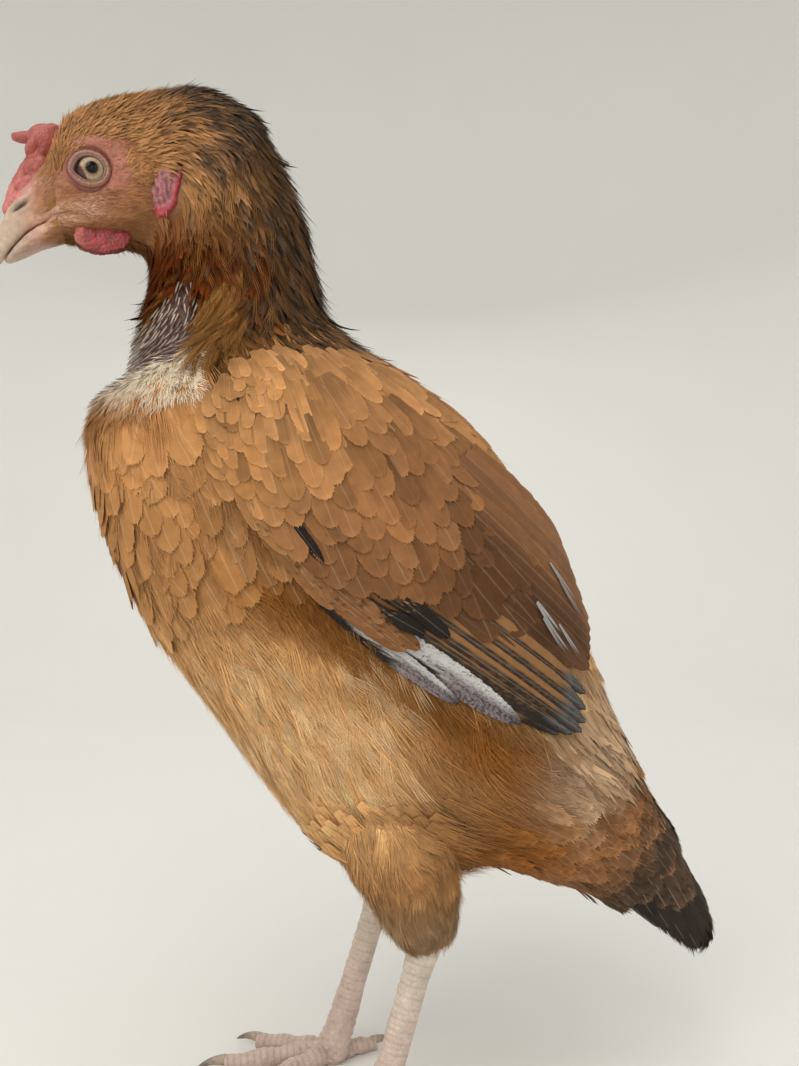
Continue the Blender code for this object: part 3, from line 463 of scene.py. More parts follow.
class Coat:
    """Feathers gathered into one mesh: places, faces, tones and the two maps."""

    def __init__(self, name):
        self.name = name
        self.points, self.normals, self.faces, self.tones = [], [], [], []
        self.vane, self.bake = [], []
        self.count = 0

    def add(self, pattern, spine, length, width, lift, tone, patch, shaft=0.5, tilt=0.0, edge=0.0,
            base=None, paint=None, flare=0.0, soft=0.75):
        """Sets one feather of the pattern on each spine.

        lift is the height at the root, the gain up to the tip and the power by which it gains, tone
        the colour, base the darker colour at the root, partly the feather's own and partly painted
        shade under the feathers above, edge how much the rim pales, shaft how far the shaft shows,
        flare how far the tip stands off, soft how far the feather is lit as part of the body's own
        curve, and patch its bake place.
        """
        points, ways, normals = spine
        n, steps = points.shape[:2]
        along = np.clip(pattern.vertices[:, 0], 0, 1.08)
        u, h = pattern.vertices[:, 1], pattern.vertices[:, 2]
        at = np.clip(along, 0, 1) * (steps - 1)
        low = np.minimum(at.astype(int), steps - 2)
        f = (at - low)[None, :, None]

        def read(values):
            return values[:, low] * (1 - f) + values[:, low + 1] * f

        def column(values):
            return np.broadcast_to(values, (n,))[:, None]

        way, normal = unit(read(ways)), unit(read(normals))
        half = column(width) / 2
        side = u * half
        start, gain, power = (*lift, 1.0)[:3]
        rise = column(start) + gain * along ** power + h * half - side * np.sin(column(tilt))
        rise = rise + column(flare) * along ** 2
        place = read(points) + way * (np.maximum(along - 1, 0) * column(length))[..., None]
        place = place + np.cross(normal, way) * (side * np.cos(column(tilt)))[..., None]
        place = place + normal * rise[..., None]
        tone = np.broadcast_to(tone, (n, 3))[:, None] * np.ones((len(along), 1))
        if base is not None:
            share = smooth_step(0.75, 0.2, along)[:, None]
            tone = tone + (np.broadcast_to(base, (n, 3))[:, None] - tone) * share
        if edge:
            rim = np.clip(np.maximum(np.abs(u), smooth_step(0.8, 1.0, along)), 0, 1) ** 4
            tone = tone * (1 + edge * rim[:, None])
        if paint is not None:
            tone = paint(tone, along, u)
        strength = np.full((*tone.shape[:2], 1), shaft)
        vane = np.broadcast_to(np.stack((u / 2 + 0.5, along), -1), (*tone.shape[:2], 2))
        small = np.stack((u * PATCH_SIZE / 2, (along - 0.5) * PATCH_SIZE), -1)
        first = self.count + np.arange(n)[:, None, None] * len(along)
        self.points.append(place.reshape(-1, 3))
        self.normals.append((normal * soft).reshape(-1, 3))
        self.faces.append((pattern.faces[:, ::-1] + first).reshape(-1, 3))
        self.tones.append(np.concatenate((tone, strength), -1).reshape(-1, 4))
        self.vane.append(vane.reshape(-1, 2))
        self.bake.append((patch[:, None] + small).reshape(-1, 2))
        self.count += n * len(along)

    def lay(self, name, pattern, root, tip, steps, width, lift, tone, stretch=1.0, **look):
        """Sets a single feather on a sheet, from its root to its tip."""
        root, way = np.array(root, float), np.subtract(tip, root)
        length = np.array([np.linalg.norm(way)]) * stretch
        spine = walk(sheet(name), root[:1], root[1:], math.atan2(way[1], way[0]), length, steps)
        self.add(pattern, spine, length, width, lift, tone, bake_place(name, root[:1], root[1:]), **look)

    def make(self, slot, finish="soft plumage"):
        """One mesh of all its feathers, lit partly as the body under them is."""
        points = np.concatenate(self.points) * MM
        faces = np.concatenate(self.faces)
        mesh = new_mesh(self.name, points, faces)
        set_tones(mesh, np.concatenate(self.tones))
        corners = faces.reshape(-1)
        for name, places in (("OFBake", self.bake), ("vane", self.vane)):
            layer = mesh.uv_layers.new(name=name)
            layer.uv.foreach_set("vector", np.concatenate(places)[corners].astype(np.float32).ravel())
        own = np.empty(points.size, np.float32)
        mesh.vertex_normals.foreach_get("vector", own)
        body = np.concatenate(self.normals)
        share = np.linalg.norm(body, axis=1, keepdims=True)
        normals = unit(own.reshape(-1, 3) * (1 - share) + body)
        mesh.normals_split_custom_set_from_vertices(normals.tolist())
        return dress(new_object(self.name, mesh, finish), slot)


def new_mesh(name, points, faces):
    """A mesh of triangles from arrays of points in metres and of corners."""
    mesh = bpy.data.meshes.new(name)
    mesh.vertices.add(len(points))
    mesh.vertices.foreach_set("co", np.asarray(points, np.float32).ravel())
    mesh.loops.add(faces.size)
    mesh.loops.foreach_set("vertex_index", faces.astype(np.int32).ravel())
    mesh.polygons.add(len(faces))
    mesh.polygons.foreach_set("loop_start", np.arange(0, faces.size, faces.shape[1], dtype=np.int32))
    mesh.update(calc_edges=True)
    mesh.shade_smooth()
    return mesh


def set_tones(mesh, tones):
    """Keeps a colour for each point, with how far a shaft shows there as its alpha."""
    tones = np.clip(tones, 0, 1)
    if tones.shape[1] == 3:
        tones = np.concatenate((tones, np.zeros((len(tones), 1))), 1)
    layer = mesh.color_attributes.new("tone", "FLOAT_COLOR", "POINT")
    layer.data.foreach_set("color", tones.astype(np.float32).ravel())


def new_object(name, mesh, finish):
    obj = bpy.data.objects.new(name, mesh)
    bpy.context.scene.collection.objects.link(obj)
    mesh.materials.append(material(finish))
    return obj


def dress(obj, slot, *nodes):
    """The piece rides on the hen and stands for these solids; slot is not used."""
    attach(obj, "root")
    if nodes:
        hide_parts(*nodes)
    return obj


def joined(parts):
    """The points and faces of several forms as one."""
    starts = np.cumsum([0] + [len(part[0]) for part in parts[:-1]])
    faces = [part[1] + start for part, start in zip(parts, starts)]
    return np.concatenate([part[0] for part in parts]), np.concatenate(faces)


def solid(name, parts, finish):
    """One object from forms that each have points in millimetres, faces and tones."""
    points, faces = joined(parts)
    mesh = new_mesh(name, points * MM, faces)
    set_tones(mesh, np.concatenate([part[2] for part in parts]))
    return turn_out(new_object(name, mesh, finish))


def open_form(points, tone, round_=False):
    return points.reshape(-1, 3), grid_faces(*points.shape[:2], round_), tone.reshape(-1, 3)


def closed_form(points, tone, ends=2):
    """A tube from a grid of rings, closed at its last ring, and at its first if it has two ends."""
    rows, columns = points.shape[:2]
    k = np.arange(columns)
    n = (k + 1) % columns
    last = (rows - 1) * columns
    spots, faces, tones = open_form(points, tone, round_=True)
    for row, a, b in ((-1, last + k, last + n), (0, n, k))[:ends]:
        cap = np.stack((a, b, np.full(columns, len(spots))), -1)
        spots = np.concatenate((spots, points[row].mean(0)[None]))
        faces = np.concatenate((faces, cap))
        tones = np.concatenate((tones, tone[row].mean(0)[None]))
    return spots, faces, tones


def rings(columns):
    """Turns of even steps round a ring."""
    return np.linspace(0, 2 * np.pi, columns, endpoint=False)


def grid_faces(rows, columns, round_=False):
    i, j = np.meshgrid(np.arange(rows - 1), np.arange(columns if round_ else columns - 1), indexing="ij")
    n = (j + 1) % columns
    a, b = i * columns + j, i * columns + n
    c, d = a + columns, b + columns
    return np.concatenate((np.stack((a, b, d), -1).reshape(-1, 3), np.stack((a, d, c), -1).reshape(-1, 3)))


def turn_out(obj):
    work = bmesh.new()
    work.from_mesh(obj.data)
    bmesh.ops.recalc_face_normals(work, faces=work.faces)
    work.to_mesh(obj.data)
    work.free()
    return obj


def lumpy(points, size, seed=0):
    """A smooth field of soft lumps, from -1 to 1, for points in millimetres."""
    draw = np.random.default_rng(seed)
    total = np.zeros(points.shape[:-1])
    for _ in range(9):
        way = draw.normal(size=3)
        way /= np.linalg.norm(way)
        total += np.sin(points @ way * 2 * np.pi / (size * draw.uniform(0.7, 1.5)) + draw.uniform(0, 6.28))
    return total / 4.5


# Materials


def node(tree, kind, **values):
    made = tree.nodes.new(kind)
    for key, value in values.items():
        setattr(made, key, value)
    return made


def maths(tree, operation, a, b=None, c=None, clamp=False):
    made = node(tree, "ShaderNodeMath", operation=operation, use_clamp=clamp)
    for socket, value in zip(made.inputs, (a, b, c)):
        if value is None:
            continue
        if hasattr(value, "links"):
            tree.links.new(value, socket)
        else:
            socket.default_value = value
    return made.outputs[0]


def blend_colour(tree, share, a, b, kind="MIX"):
    made = node(tree, "ShaderNodeMix", data_type="RGBA", blend_type=kind)
    for socket, value in ((made.inputs[0], share), (made.inputs[6], a), (made.inputs[7], b)):
        if hasattr(value, "links"):
            tree.links.new(value, socket)
        elif hasattr(value, "__len__"):
            socket.default_value = (*value, 1.0)
        else:
            socket.default_value = value
    return made.outputs[2]


def group_tree(name, inputs, outputs):
    tree = bpy.data.node_groups.new(name, "ShaderNodeTree")
    for label, kind, value in inputs:
        socket = tree.interface.new_socket(label, in_out="INPUT", socket_type=kind)
        if value is not None:
            socket.default_value = value
    for label, kind in outputs:
        tree.interface.new_socket(label, in_out="OUTPUT", socket_type=kind)
    return tree, tree.nodes.new("NodeGroupInput").outputs, tree.nodes.new("NodeGroupOutput").inputs


def vane_group():
    """Barbs, shaft and fine streaks on a feather, from its own map, with painted shade between the barbs."""
    tree, given, out = group_tree(
        "feather vane",
        [("Tone", "NodeSocketColor", (0.5, 0.3, 0.1, 1)), ("Shaft", "NodeSocketFloat", 0.5),
         ("Barb Depth", "NodeSocketFloat", 0.2), ("Barbs", "NodeSocketFloat", 170.0)],
        [("Color", "NodeSocketColor"), ("Height", "NodeSocketFloat")])
    place = node(tree, "ShaderNodeUVMap", uv_map="vane")
    split = node(tree, "ShaderNodeSeparateXYZ")
    tree.links.new(place.outputs[0], split.inputs[0])
    off = maths(tree, "ABSOLUTE", maths(tree, "SUBTRACT", split.outputs[0], 0.5))
    across = maths(tree, "MULTIPLY", off, 2.0)
    along = split.outputs[1]
    thin = maths(tree, "SUBTRACT", 0.115, maths(tree, "MULTIPLY", along, 0.06))
    line = maths(tree, "SUBTRACT", 1.0, maths(tree, "DIVIDE", across, thin), clamp=True)
    line = maths(tree, "MULTIPLY", line, given["Shaft"])
    noise = node(tree, "ShaderNodeTexNoise")
    noise.inputs["Scale"].default_value = 900.0
    noise.inputs["Detail"].default_value = 2.0
    spot = node(tree, "ShaderNodeTexCoord")
    tree.links.new(spot.outputs["Object"], noise.inputs["Vector"])
    slant = maths(tree, "MULTIPLY", maths(tree, "MULTIPLY", across, given["Barbs"]), 0.4)
    sweep = maths(tree, "SUBTRACT", maths(tree, "MULTIPLY", along, given["Barbs"]), slant)
    sweep = maths(tree, "ADD", sweep, maths(tree, "MULTIPLY", noise.outputs[0], 7.0))
    barbs = maths(tree, "ADD", maths(tree, "MULTIPLY", maths(tree, "SINE", sweep), 0.5), 0.5)
    # Painted shade: darker between the barbs and paler on them, over the barbs' own bump.
    depth = maths(tree, "MULTIPLY", barbs, given["Barb Depth"])
    shade = maths(tree, "SUBTRACT", 1.0, given["Barb Depth"])
    shade = maths(tree, "ADD", shade, maths(tree, "MULTIPLY", depth, 1.5))
    streak = node(tree, "ShaderNodeTexNoise")
    streak.inputs["Scale"].default_value = 220.0
    streak.inputs["Detail"].default_value = 3.0
    tree.links.new(spot.outputs["Object"], streak.inputs["Vector"])
    mottle = maths(tree, "ADD", maths(tree, "MULTIPLY", streak.outputs[0], 0.5), 0.76)
    shade = maths(tree, "MULTIPLY", shade, mottle)
    grey = node(tree, "ShaderNodeCombineColor")
    for k in range(3):
        tree.links.new(shade, grey.inputs[k])
    toned = blend_colour(tree, 1.0, given["Tone"], grey.outputs[0], "MULTIPLY")
    bright = blend_colour(tree, 0.35, given["Tone"], (0.90, 0.78, 0.58))
    toned = blend_colour(tree, line, toned, bright)
    tree.links.new(toned, out["Color"])
    height = maths(tree, "ADD", maths(tree, "MULTIPLY", barbs, 0.35), line)
    tree.links.new(height, out["Height"])
    return tree


def grain_group():
    """Fine creases and pores of bare skin, horn and scales, by place, their colour darkened with the bump as
    painted shade.
    """
    tree, given, out = group_tree(
        "skin grain and crease shade",
        [("Tone", "NodeSocketColor", (0.6, 0.3, 0.2, 1)), ("Scale", "NodeSocketFloat", 900.0),
         ("Depth", "NodeSocketFloat", 0.2)],
        [("Color", "NodeSocketColor"), ("Height", "NodeSocketFloat")])
    spot = node(tree, "ShaderNodeTexCoord")
    cells = node(tree, "ShaderNodeTexVoronoi", feature="F1")
    tree.links.new(spot.outputs["Object"], cells.inputs["Vector"])
    tree.links.new(given["Scale"], cells.inputs["Scale"])
    noise = node(tree, "ShaderNodeTexNoise")
    noise.inputs["Detail"].default_value = 4.0
    tree.links.new(spot.outputs["Object"], noise.inputs["Vector"])
    tree.links.new(maths(tree, "MULTIPLY", given["Scale"], 0.4), noise.inputs["Scale"])
    height = maths(tree, "ADD", maths(tree, "MULTIPLY", cells.outputs[0], -0.7), noise.outputs[0])
    uneven = maths(tree, "MULTIPLY", maths(tree, "SUBTRACT", height, 0.15), given["Depth"])
    # Painted shade: the colour darker where the bump is low, in the creases and pores, and paler where it is
    # high.
    shade = maths(tree, "ADD", 1.0, uneven)
    grey = node(tree, "ShaderNodeCombineColor")
    for k in range(3):
        tree.links.new(shade, grey.inputs[k])
    tree.links.new(blend_colour(tree, 1.0, given["Tone"], grey.outputs[0], "MULTIPLY"), out["Color"])
    tree.links.new(height, out["Height"])
    return tree


def material(name):
    """A Principled surface whose colour is the mesh's own tone worked over by a shared effect."""
    made = bpy.data.materials.get(name)
    if made:
        return made
    effect_name, values, roughness, bump, specular = FINISHES[name]
    made = bpy.data.materials.new(name)
    made.use_nodes = True
    tree = made.node_tree
    shader = tree.nodes["Principled BSDF"]
    tone = node(tree, "ShaderNodeAttribute", attribute_name="tone")
    effect = node(tree, "ShaderNodeGroup")
    effect.node_tree = bpy.data.node_groups.get(effect_name) or EFFECTS[effect_name]()
    tree.links.new(tone.outputs["Color"], effect.inputs["Tone"])
    if "Shaft" in effect.inputs:
        tree.links.new(tone.outputs["Alpha"], effect.inputs["Shaft"])
    for key, value in values.items():
        effect.inputs[key].default_value = value
    raised = node(tree, "ShaderNodeBump")
    raised.inputs["Strength"].default_value = 1.0
    raised.inputs["Distance"].default_value = bump
    tree.links.new(effect.outputs["Height"], raised.inputs["Height"])
    tree.links.new(raised.outputs[0], shader.inputs["Normal"])
    tree.links.new(effect.outputs["Color"], shader.inputs["Base Color"])
    shader.inputs["Roughness"].default_value = roughness
    shader.inputs["Specular IOR Level"].default_value = specular
    return made


EFFECTS = {"feather vane": vane_group, "skin grain and crease shade": grain_group}
# Each finish: its shared effect and that effect's values, roughness, height of the bump, specular.
FINISHES = {
    "soft plumage": ("feather vane", {"Barb Depth": 0.14}, 0.7, 0.00006, 0.06),
    "flight feathers": ("feather vane", {"Barb Depth": 0.3, "Barbs": 420.0}, 0.6, 0.00008, 0.12),
    "bare skin": ("skin grain and crease shade", {"Scale": 1100.0, "Depth": 0.5}, 0.5, 0.00022, 0.45),
    "comb and wattle skin": ("skin grain and crease shade", {"Scale": 1300.0, "Depth": 0.45}, 0.42, 0.00025, 0.5),
    "bill and claw horn": ("skin grain and crease shade", {"Scale": 500.0, "Depth": 0.35}, 0.38, 0.00008, 0.5),
    "leg scales": ("skin grain and crease shade", {"Scale": 900.0, "Depth": 0.35}, 0.45, 0.0001, 0.45),
    "wet eye": ("skin grain and crease shade", {"Scale": 3000.0, "Depth": 0.05}, 0.07, 0.00001, 0.3),
}


# Markings, the same on skin and feathers


def body_marking(points):
    """The colour of the coat at places in millimetres, with painted shade on the flank under the wing and
    under the tail.
    """
    x, y, z = coordinates(points)
    p, q = side_to_wing(x, z)
    streaks = lumpy(points * np.array((1.0, 1.0, 0.35)), 6.0, 205) * smooth_step(215, 185, z)
    # Painted shadow: a dark band on the flank under the wing.
    flank = 0.8 * smooth_step(-20, -36, q) * smooth_step(-62, -40, q) * smooth_step(30, 60, p)
    below = between(WING_LOWER_EDGE, p) - q
    # Painted shade: the coat darkened in a band just below the wing's lower edge, where the wing shades it.
    painted_wing_shade = smooth_step(18, 4, below) * smooth_step(-4, 2, below) * smooth_step(10, 40, p)
    back = smooth_step(42, 62, q) * smooth_step(40, 15, y)
    tone = mix(colour("breast"), colour("breast") * 0.78, smooth_step(275, 240, z))
    tone = mix(tone, colour("belly"), smooth_step(225, 180, z))
    tone = tone * (1 + 0.16 * streaks)[..., None]
    for name, strength, share in (
        ("thigh", 1.0, smooth_step(-22, 15, x) * smooth_step(190, 150, z)),
        ("flank", 1.0, flank),
        ("rump", 1.0, smooth_step(175, 205, p) * smooth_step(-70, -25, q)),
        # Painted shade under the tail, in the same dark colour.
        ("flank", 1.0, 0.85 * smooth_step(170, 200, p) * smooth_step(-42, -62, q)),
        ("wing_brown", 1.2, smooth_step(208, 232, p)),
    ):
        tone = mix(tone, colour(name) * strength, share)
    # Painted shade below the wing's lower edge.
    tone = tone * (1 - 0.32 * painted_wing_shade)[..., None]
    tone = mix(tone, colour("wing_gold") * 0.85, back)
    tone = mix(tone, colour("wing_brown"), back * smooth_step(60, 130, p))
    return mix(tone, colour("tail_brown"), smooth_step(232, 262, p))


def neck_marking(points):
    """Golden crown and face, dark mottled nape, red-brown neck with golden hackles."""
    x, y, z = coordinates(points)
    back_line = np.interp(z, (310, 330, 350, 370, 392, 411, 420), (-25, -26, -31, -36, -45, -57, -80))
    from_back = back_line - x
    spots = lumpy(points, 9.0, 5) + 0.6 * lumpy(points, 3.5, 6)
    tone = mix(colour("crown"), colour("neck_red"), smooth_step(372, 345, z))
    tone = mix(tone, colour("hackle_gold") * 0.8, smooth_step(336, 312, z) * 0.75)
    dark = smooth_step(44, 16, from_back + 15 * spots) * smooth_step(-106, -86, x)
    crown = smooth_step(20, 7, y) * smooth_step(-105, -85, x) * smooth_step(385, 405, z) * 0.7
    return mix(tone, colour("nape_dark"), 0.93 * np.maximum(dark, crown))


def head_skin_marking(points):
    """Pink round the eye, rustier and paler to the mouth, with painted shade in the groove round the lids.
    """
    x, y, z = coordinates(points)
    tone = mix(colour("skin_pink"), colour("lore"), smooth_step(372, 362, z) * 0.8)
    tone = mix(tone, colour("lore"), smooth_step(-127, -134, x) * smooth_step(396, 388, z) * 0.7)
    tone = tone * (1 + 0.10 * lumpy(points, 7.0, 3)[..., None])
    pale = smooth_step(6.5, 2.0, np.abs(z - (np.interp(x, (-142, -121), (358, 366)))))
    tone = mix(tone, colour("skin_pale"), pale * smooth_step(-112, -122, x))
    # Painted shade in the hollow groove round the lids.
    groove = smooth_step(1.3, 0.3, np.abs(from_eye(x, z) - 8.0))
    return mix(tone, colour("skin_mauve") * 0.4, 0.5 * groove)


def coat_marking(points):
    """Head, neck and body in one, for the skin and for every feather that grows on it."""
    x, z = points[..., 0], points[..., 2]
    on_body = smooth_step(312, 298, z + 0.15 * (x + 70))
    return mix(neck_marking(points), body_marking(points), on_body)


# Shared sheets, made once


SHEETS = {}


def sheet(name):
    """A sheet by its name, the wing's and tail's in their own coordinates."""
    if name not in SHEETS:
        kind, _, label = name.partition("_")
        side = SIDES.get(label)
        if kind == "wing":
            made = side_sheet(side, np.linspace(-12, 214, 114), np.linspace(-60, 78, 70), wing_to_side)
        elif kind == "tail":
            made = side_sheet(side, np.linspace(-30, 90, 61), np.linspace(-4, 48, 27), tail_to_side)
        elif kind == "thigh":
            made = thigh_sheet(side)
        elif kind == "bill":
            made = bill_sheet(label == "upper")
        else:
            made = body_sheet() if kind == "body" else face_sheet()
        SHEETS[name] = made
    return SHEETS[name]


# Corners and sizes of each sheet's own field on the OFBake unwrap.
BAKE_FIELDS = {
    "body": (0.02, 0.02, 0.56, 0.96, 23.0, 2 * math.pi),
    "face": (0.02, 0.02, 0.56, 0.96, 23.0, 2 * math.pi),
    "bill_upper": (0.60, 0.97, 0.18, 0.02, 3.0, 2 * math.pi),
    "bill_lower": (0.80, 0.97, 0.18, 0.02, 3.0, 2 * math.pi),
    "wing_left": (0.60, 0.02, 0.38, 0.24, 214.0, 140.0),
    "wing_right": (0.60, 0.28, 0.38, 0.24, 214.0, 140.0),
    "tail_left": (0.60, 0.54, 0.18, 0.12, 120.0, 52.0),
    "tail_right": (0.80, 0.54, 0.18, 0.12, 120.0, 52.0),
    "thigh_left": (0.60, 0.70, 0.18, 0.26, 1.1, 2 * math.pi),
    "thigh_right": (0.80, 0.70, 0.18, 0.26, 1.1, 2 * math.pi),
}


def bake_place(name, u, v):
    """Where a root on a sheet lies on the unwrap of the skin."""
    left, low, wide, high, long_u, long_v = BAKE_FIELDS[name]
    if long_v == 2 * math.pi:
        v = np.mod(v, 2 * np.pi)
    else:
        v = v + long_v * 0.4
    share_u = np.clip(u / long_u, 0.01, 0.99)
    share_v = np.clip(v / long_v, 0.01, 0.99)
    return np.stack((left + share_u * wide, low + share_v * high), -1)


def column_roots(sheet_, u_low, u_high, columns, spacing, draw):
    """Roots in columns down a sheet, every other column shifted.

    spacing is the step in millimetres, or places down the sheet and the step at each.
    """
    roots = []
    for k, v in enumerate(2 * np.pi * (np.arange(columns) + 0.5) / columns):
        fine_u = np.linspace(u_low, u_high, 240)
        points = sheet_.read(sheet_.points, fine_u, np.full(240, v))
        steps = np.linalg.norm(np.diff(points, axis=0), axis=1)
        pace = spacing if np.isscalar(spacing) else np.interp(fine_u[:-1], *spacing)
        count = np.concatenate(((0.0,), np.cumsum(steps / pace)))
        marks = np.arange(0.5 * (k % 2) + 0.25, count[-1], 1.0)
        roots.append(np.stack((np.interp(marks, count, fine_u), np.full(len(marks), v)), 1))
    roots = np.concatenate(roots)
    roots[:, 0] += draw.normal(size=len(roots)) * 0.0012 * (u_high - u_low)
    roots[:, 1] += draw.normal(size=len(roots)) * 0.4 * np.pi / columns
    return roots


def under_wing(points, margin):
    """True where the folded wing covers the body by at least a margin."""
    p, q = side_to_wing(points[:, 0], points[:, 2])
    low = between(WING_LOWER_EDGE, p) + margin
    high = between(WING_UPPER_EDGE, p) - margin
    return (p > 8 + margin) & (p < 172) & (q > low) & (q < high)


def inside_thigh(points, margin):
    """True where the drumstick covers the body."""
    hidden = np.zeros(len(points), bool)
    for side in SIDES.values():
        share = np.clip((points[:, 2] - 138) / (80 - 138), 0, 1)
        middle = thigh_middle(side, share)
        reach = np.interp(share, THIGH_PLACES, [s[0] for s in THIGH_SIZES]) - margin
        hidden |= (np.linalg.norm(points - middle, axis=1) < reach) & (points[:, 2] < 107)
    return hidden


def from_eye(x, z):
    return np.hypot(x - EYE_CENTRE[0], z - EYE_CENTRE[1])


def from_front(phi):
    """How far round from the front of the body a turn is, on either side."""
    return np.abs(np.mod(phi, 2 * np.pi) - np.pi)


def other_side(roots):
    return roots * (1, -1) + (0, 2 * np.pi)


def settings():
    return bpy.context.scene.hen_settings


# Skin


# Rows of points along the body, closer on the bare face: first place, last place and step.
SKIN_ROWS = ((-0.4, 3.6, 0.025), (3.6, 6, 0.07), (6, 22.01, 0.17))
SKIN_COLUMNS = 264


def skin_inset(place):
    """How deep the skin lies under the solids' surface: bare on the face, deep under the coat."""
    return np.interp(place, (-0.4, -0.25, -0.1, 0.15, 0.4, 3.2, 5, 9, 12, 17, 20, 23),
                     (3.2, 2.0, 1.1, 0.5, 0.3, 0.8, 3.0, 6.0, 8.0, 8.0, 4.0, 2.0))


# Lumps of the face: x, z, half breadth, half height, tilt in degrees, rise, and how far out they lie.
FACE_LUMPS = (
    (EYE_CENTRE[0] + 1, EYE_CENTRE[1] + 10.4, 11, 3.0, -5, 1.6, 10),
    (-104, 366, 12, 8, -20, 1.6, 12),
    (-117, 362.5, 15, 4.6, -5, 3.2, 6),
    (-124, 362.5, 8, 2.4, -14, 0.8, 7),
    (-128, 372, 6, 4, 0, 0.8, 9),
)
# The fold of the mouth: height above the gape, half breadth and rise.
MOUTH_FOLDS = ((0.0, 0.75, -1.1), (2.2, 1.3, 0.7), (-2.4, 1.5, 0.5))


def turned_by(degrees, x, z):
    a = math.radians(degrees)
    return x * math.cos(a) - z * math.sin(a), x * math.sin(a) + z * math.cos(a)


def face_relief(points, place):
    """Height in millimetres of the brow, cheek, jaw, mouth fold, eye hollow and ear on the face."""
    x, y, z = coordinates(points)
    height = np.zeros(x.shape)
    for cx, cz, wide, high, turn, rise, out in FACE_LUMPS:
        u, v = turned_by(turn, x - cx, z - cz)
        height += rise * np.exp(-(u / wide) ** 2 - (v / high) ** 2) * smooth_step(out - 5, out, y)
    height -= 3.4 * smooth_step(8.9, 6.8, from_eye(x, z)) * smooth_step(6, 9, y)
    mouth = z - between(GAPE, x)
    open_ = smooth_step(-119.5, -123.0, x) * smooth_step(5, 8, y)
    for above, wide, rise in MOUTH_FOLDS:
        height += rise * np.exp(-((mouth - above) / wide) ** 2) * open_
    ear = np.hypot(x + 97, (z - 377) / 1.8)
    height -= 1.6 * smooth_step(3.4, 1.2, ear) * smooth_step(14, 17, y)
    skin = smooth_step(4.6, 3.0, place)
    return height + skin * (0.16 * lumpy(points, 3.2, 1) + 0.10 * lumpy(points, 1.7, 2))


def skin_points(place, phi):
    """The skin under the coat, with the relief of the bare face."""
    inset = skin_inset(place)
    bare = body_points(place, phi)
    surface = body_points(place, phi, -inset + 3.0 * pin_patch(place, phi))
    out = unit(bare - body_points(place, phi, -3.0))
    return surface + out * face_relief(bare, place)[..., None]


# Section through both lids, from their opening outwards: distance from the eye's middle, and y.
LID_SECTION = ((4.4, 14.9), (4.9, 16.3), (5.4, 16.8), (5.8, 16.7), (6.3, 16.9), (6.9, 16.6), (7.4, 15.9),
               (7.9, 15.3), (8.4, 15.3), (9.3, 13.2))
# Dark lines of painted shade in the creases round the lids: distance, half breadth and depth, the last one
# at the rim itself, where the lid meets the eye.
LID_LINES = ((7.75, 0.5, 0.4), (5.75, 0.22, 0.45), (4.7, 0.25, 0.85))
LID_ROWS = 40
LID_COLUMNS = 210


def lid_form(side):
    """Both eyelids as one ring: an inner rim on the eye, a creased crest, a groove and the skin."""
    radius = LID_OPENING - 0.3 + (9.6 - LID_OPENING) * np.linspace(0, 1, LID_ROWS)
    r, a = np.meshgrid(radius, rings(LID_COLUMNS), indexing="ij")
    stretch = 1 + 0.07 * np.cos(a) ** 2 - 0.05 * np.abs(np.sin(a))
    pinch = 1 + 0.16 * np.exp(-((a - np.pi - 0.35) / 0.35) ** 2) * smooth_step(9, 5, r)
    x = EYE_CENTRE[0] + r * stretch * pinch * np.cos(a)
    z = EYE_CENTRE[1] + r * stretch * np.sin(a)
    crest = smooth_step(4.9, 5.5, r) * smooth_step(7.8, 7.1, r)
    crease = np.sin(a * 41 + 3.1 * np.sin(a * 5) + r) * 0.06 + np.sin(a * 19 + 2 * np.sin(a * 3)) * 0.05
    ring = np.sin((r - 5) * 5.2 + 0.4 * np.sin(a * 9)) * 0.07
    y = between(LID_SECTION, r) + crest * (crease + ring) - 0.115 * (x - EYE_CENTRE[0])
    points = np.stack((x, side * y, z), -1)
    grey = mix(np.array((0.30, 0.19, 0.14)), np.array((0.40, 0.21, 0.14)), smooth_step(5.2, 6.2, r))
    grey = mix(grey, np.array((0.42, 0.18, 0.12)), smooth_step(6.4, 7.4, r))
    # Painted shade and highlight: the lid darker in the creases of its crest and paler on their ridges.
    grey = grey * (1 + 1.32 * crease)[..., None]
    grey = mix(grey, colour("skin_mauve") * 0.8, smooth_step(-0.2, -0.9, np.cos(a)) * 0.35)
    tone = np.where((r < LID_EDGE)[..., None], grey, head_skin_marking(points))
    # The dark lines are painted shade, in the creases and groove round the lids and at the rim where the lid
    # meets the eye.
    first, second, rim = (depth * np.exp(-((r - at) / wide) ** 2) for at, wide, depth in LID_LINES)
    return open_form(points, tone * (1 - np.maximum(first + second, rim))[..., None], round_=True)


def make_skin():
    """One skin from the face to the root of the tail, with the lids round both eyes."""
    places = np.concatenate([np.arange(*span) for span in SKIN_ROWS])
    place, phi = np.meshgrid(places, rings(SKIN_COLUMNS), indexing="ij")
    points = skin_points(place, phi)
    crown = smooth_step(402, 392, points[..., 2] + 0.12 * (points[..., 0] - EYE_CENTRE[0]))
    # Under the coat the skin takes the coat's colour darkened, as painted shade in the gaps between the
    # feathers.
    tone = mix(coat_marking(points) * 0.75, head_skin_marking(points), smooth_step(3.55, 2.9, place) * crown)
    tone = mix(tone, colour("pin_skin"), pin_patch(place, phi))
    parts = [closed_form(points, tone)]
    parts += [lid_form(side) for side in SIDES.values()]
    for label in SIDES:
        parts += [thigh_skin(label), wing_skin(label)]
    flesh = ["head", "neck", "torso", "tail"]
    flesh += [f"{kind}_{label}" for kind in ("thigh", "wing") for label in SIDES]
    return dress(solid("skin", parts, "bare skin"), "face_skin", *flesh)


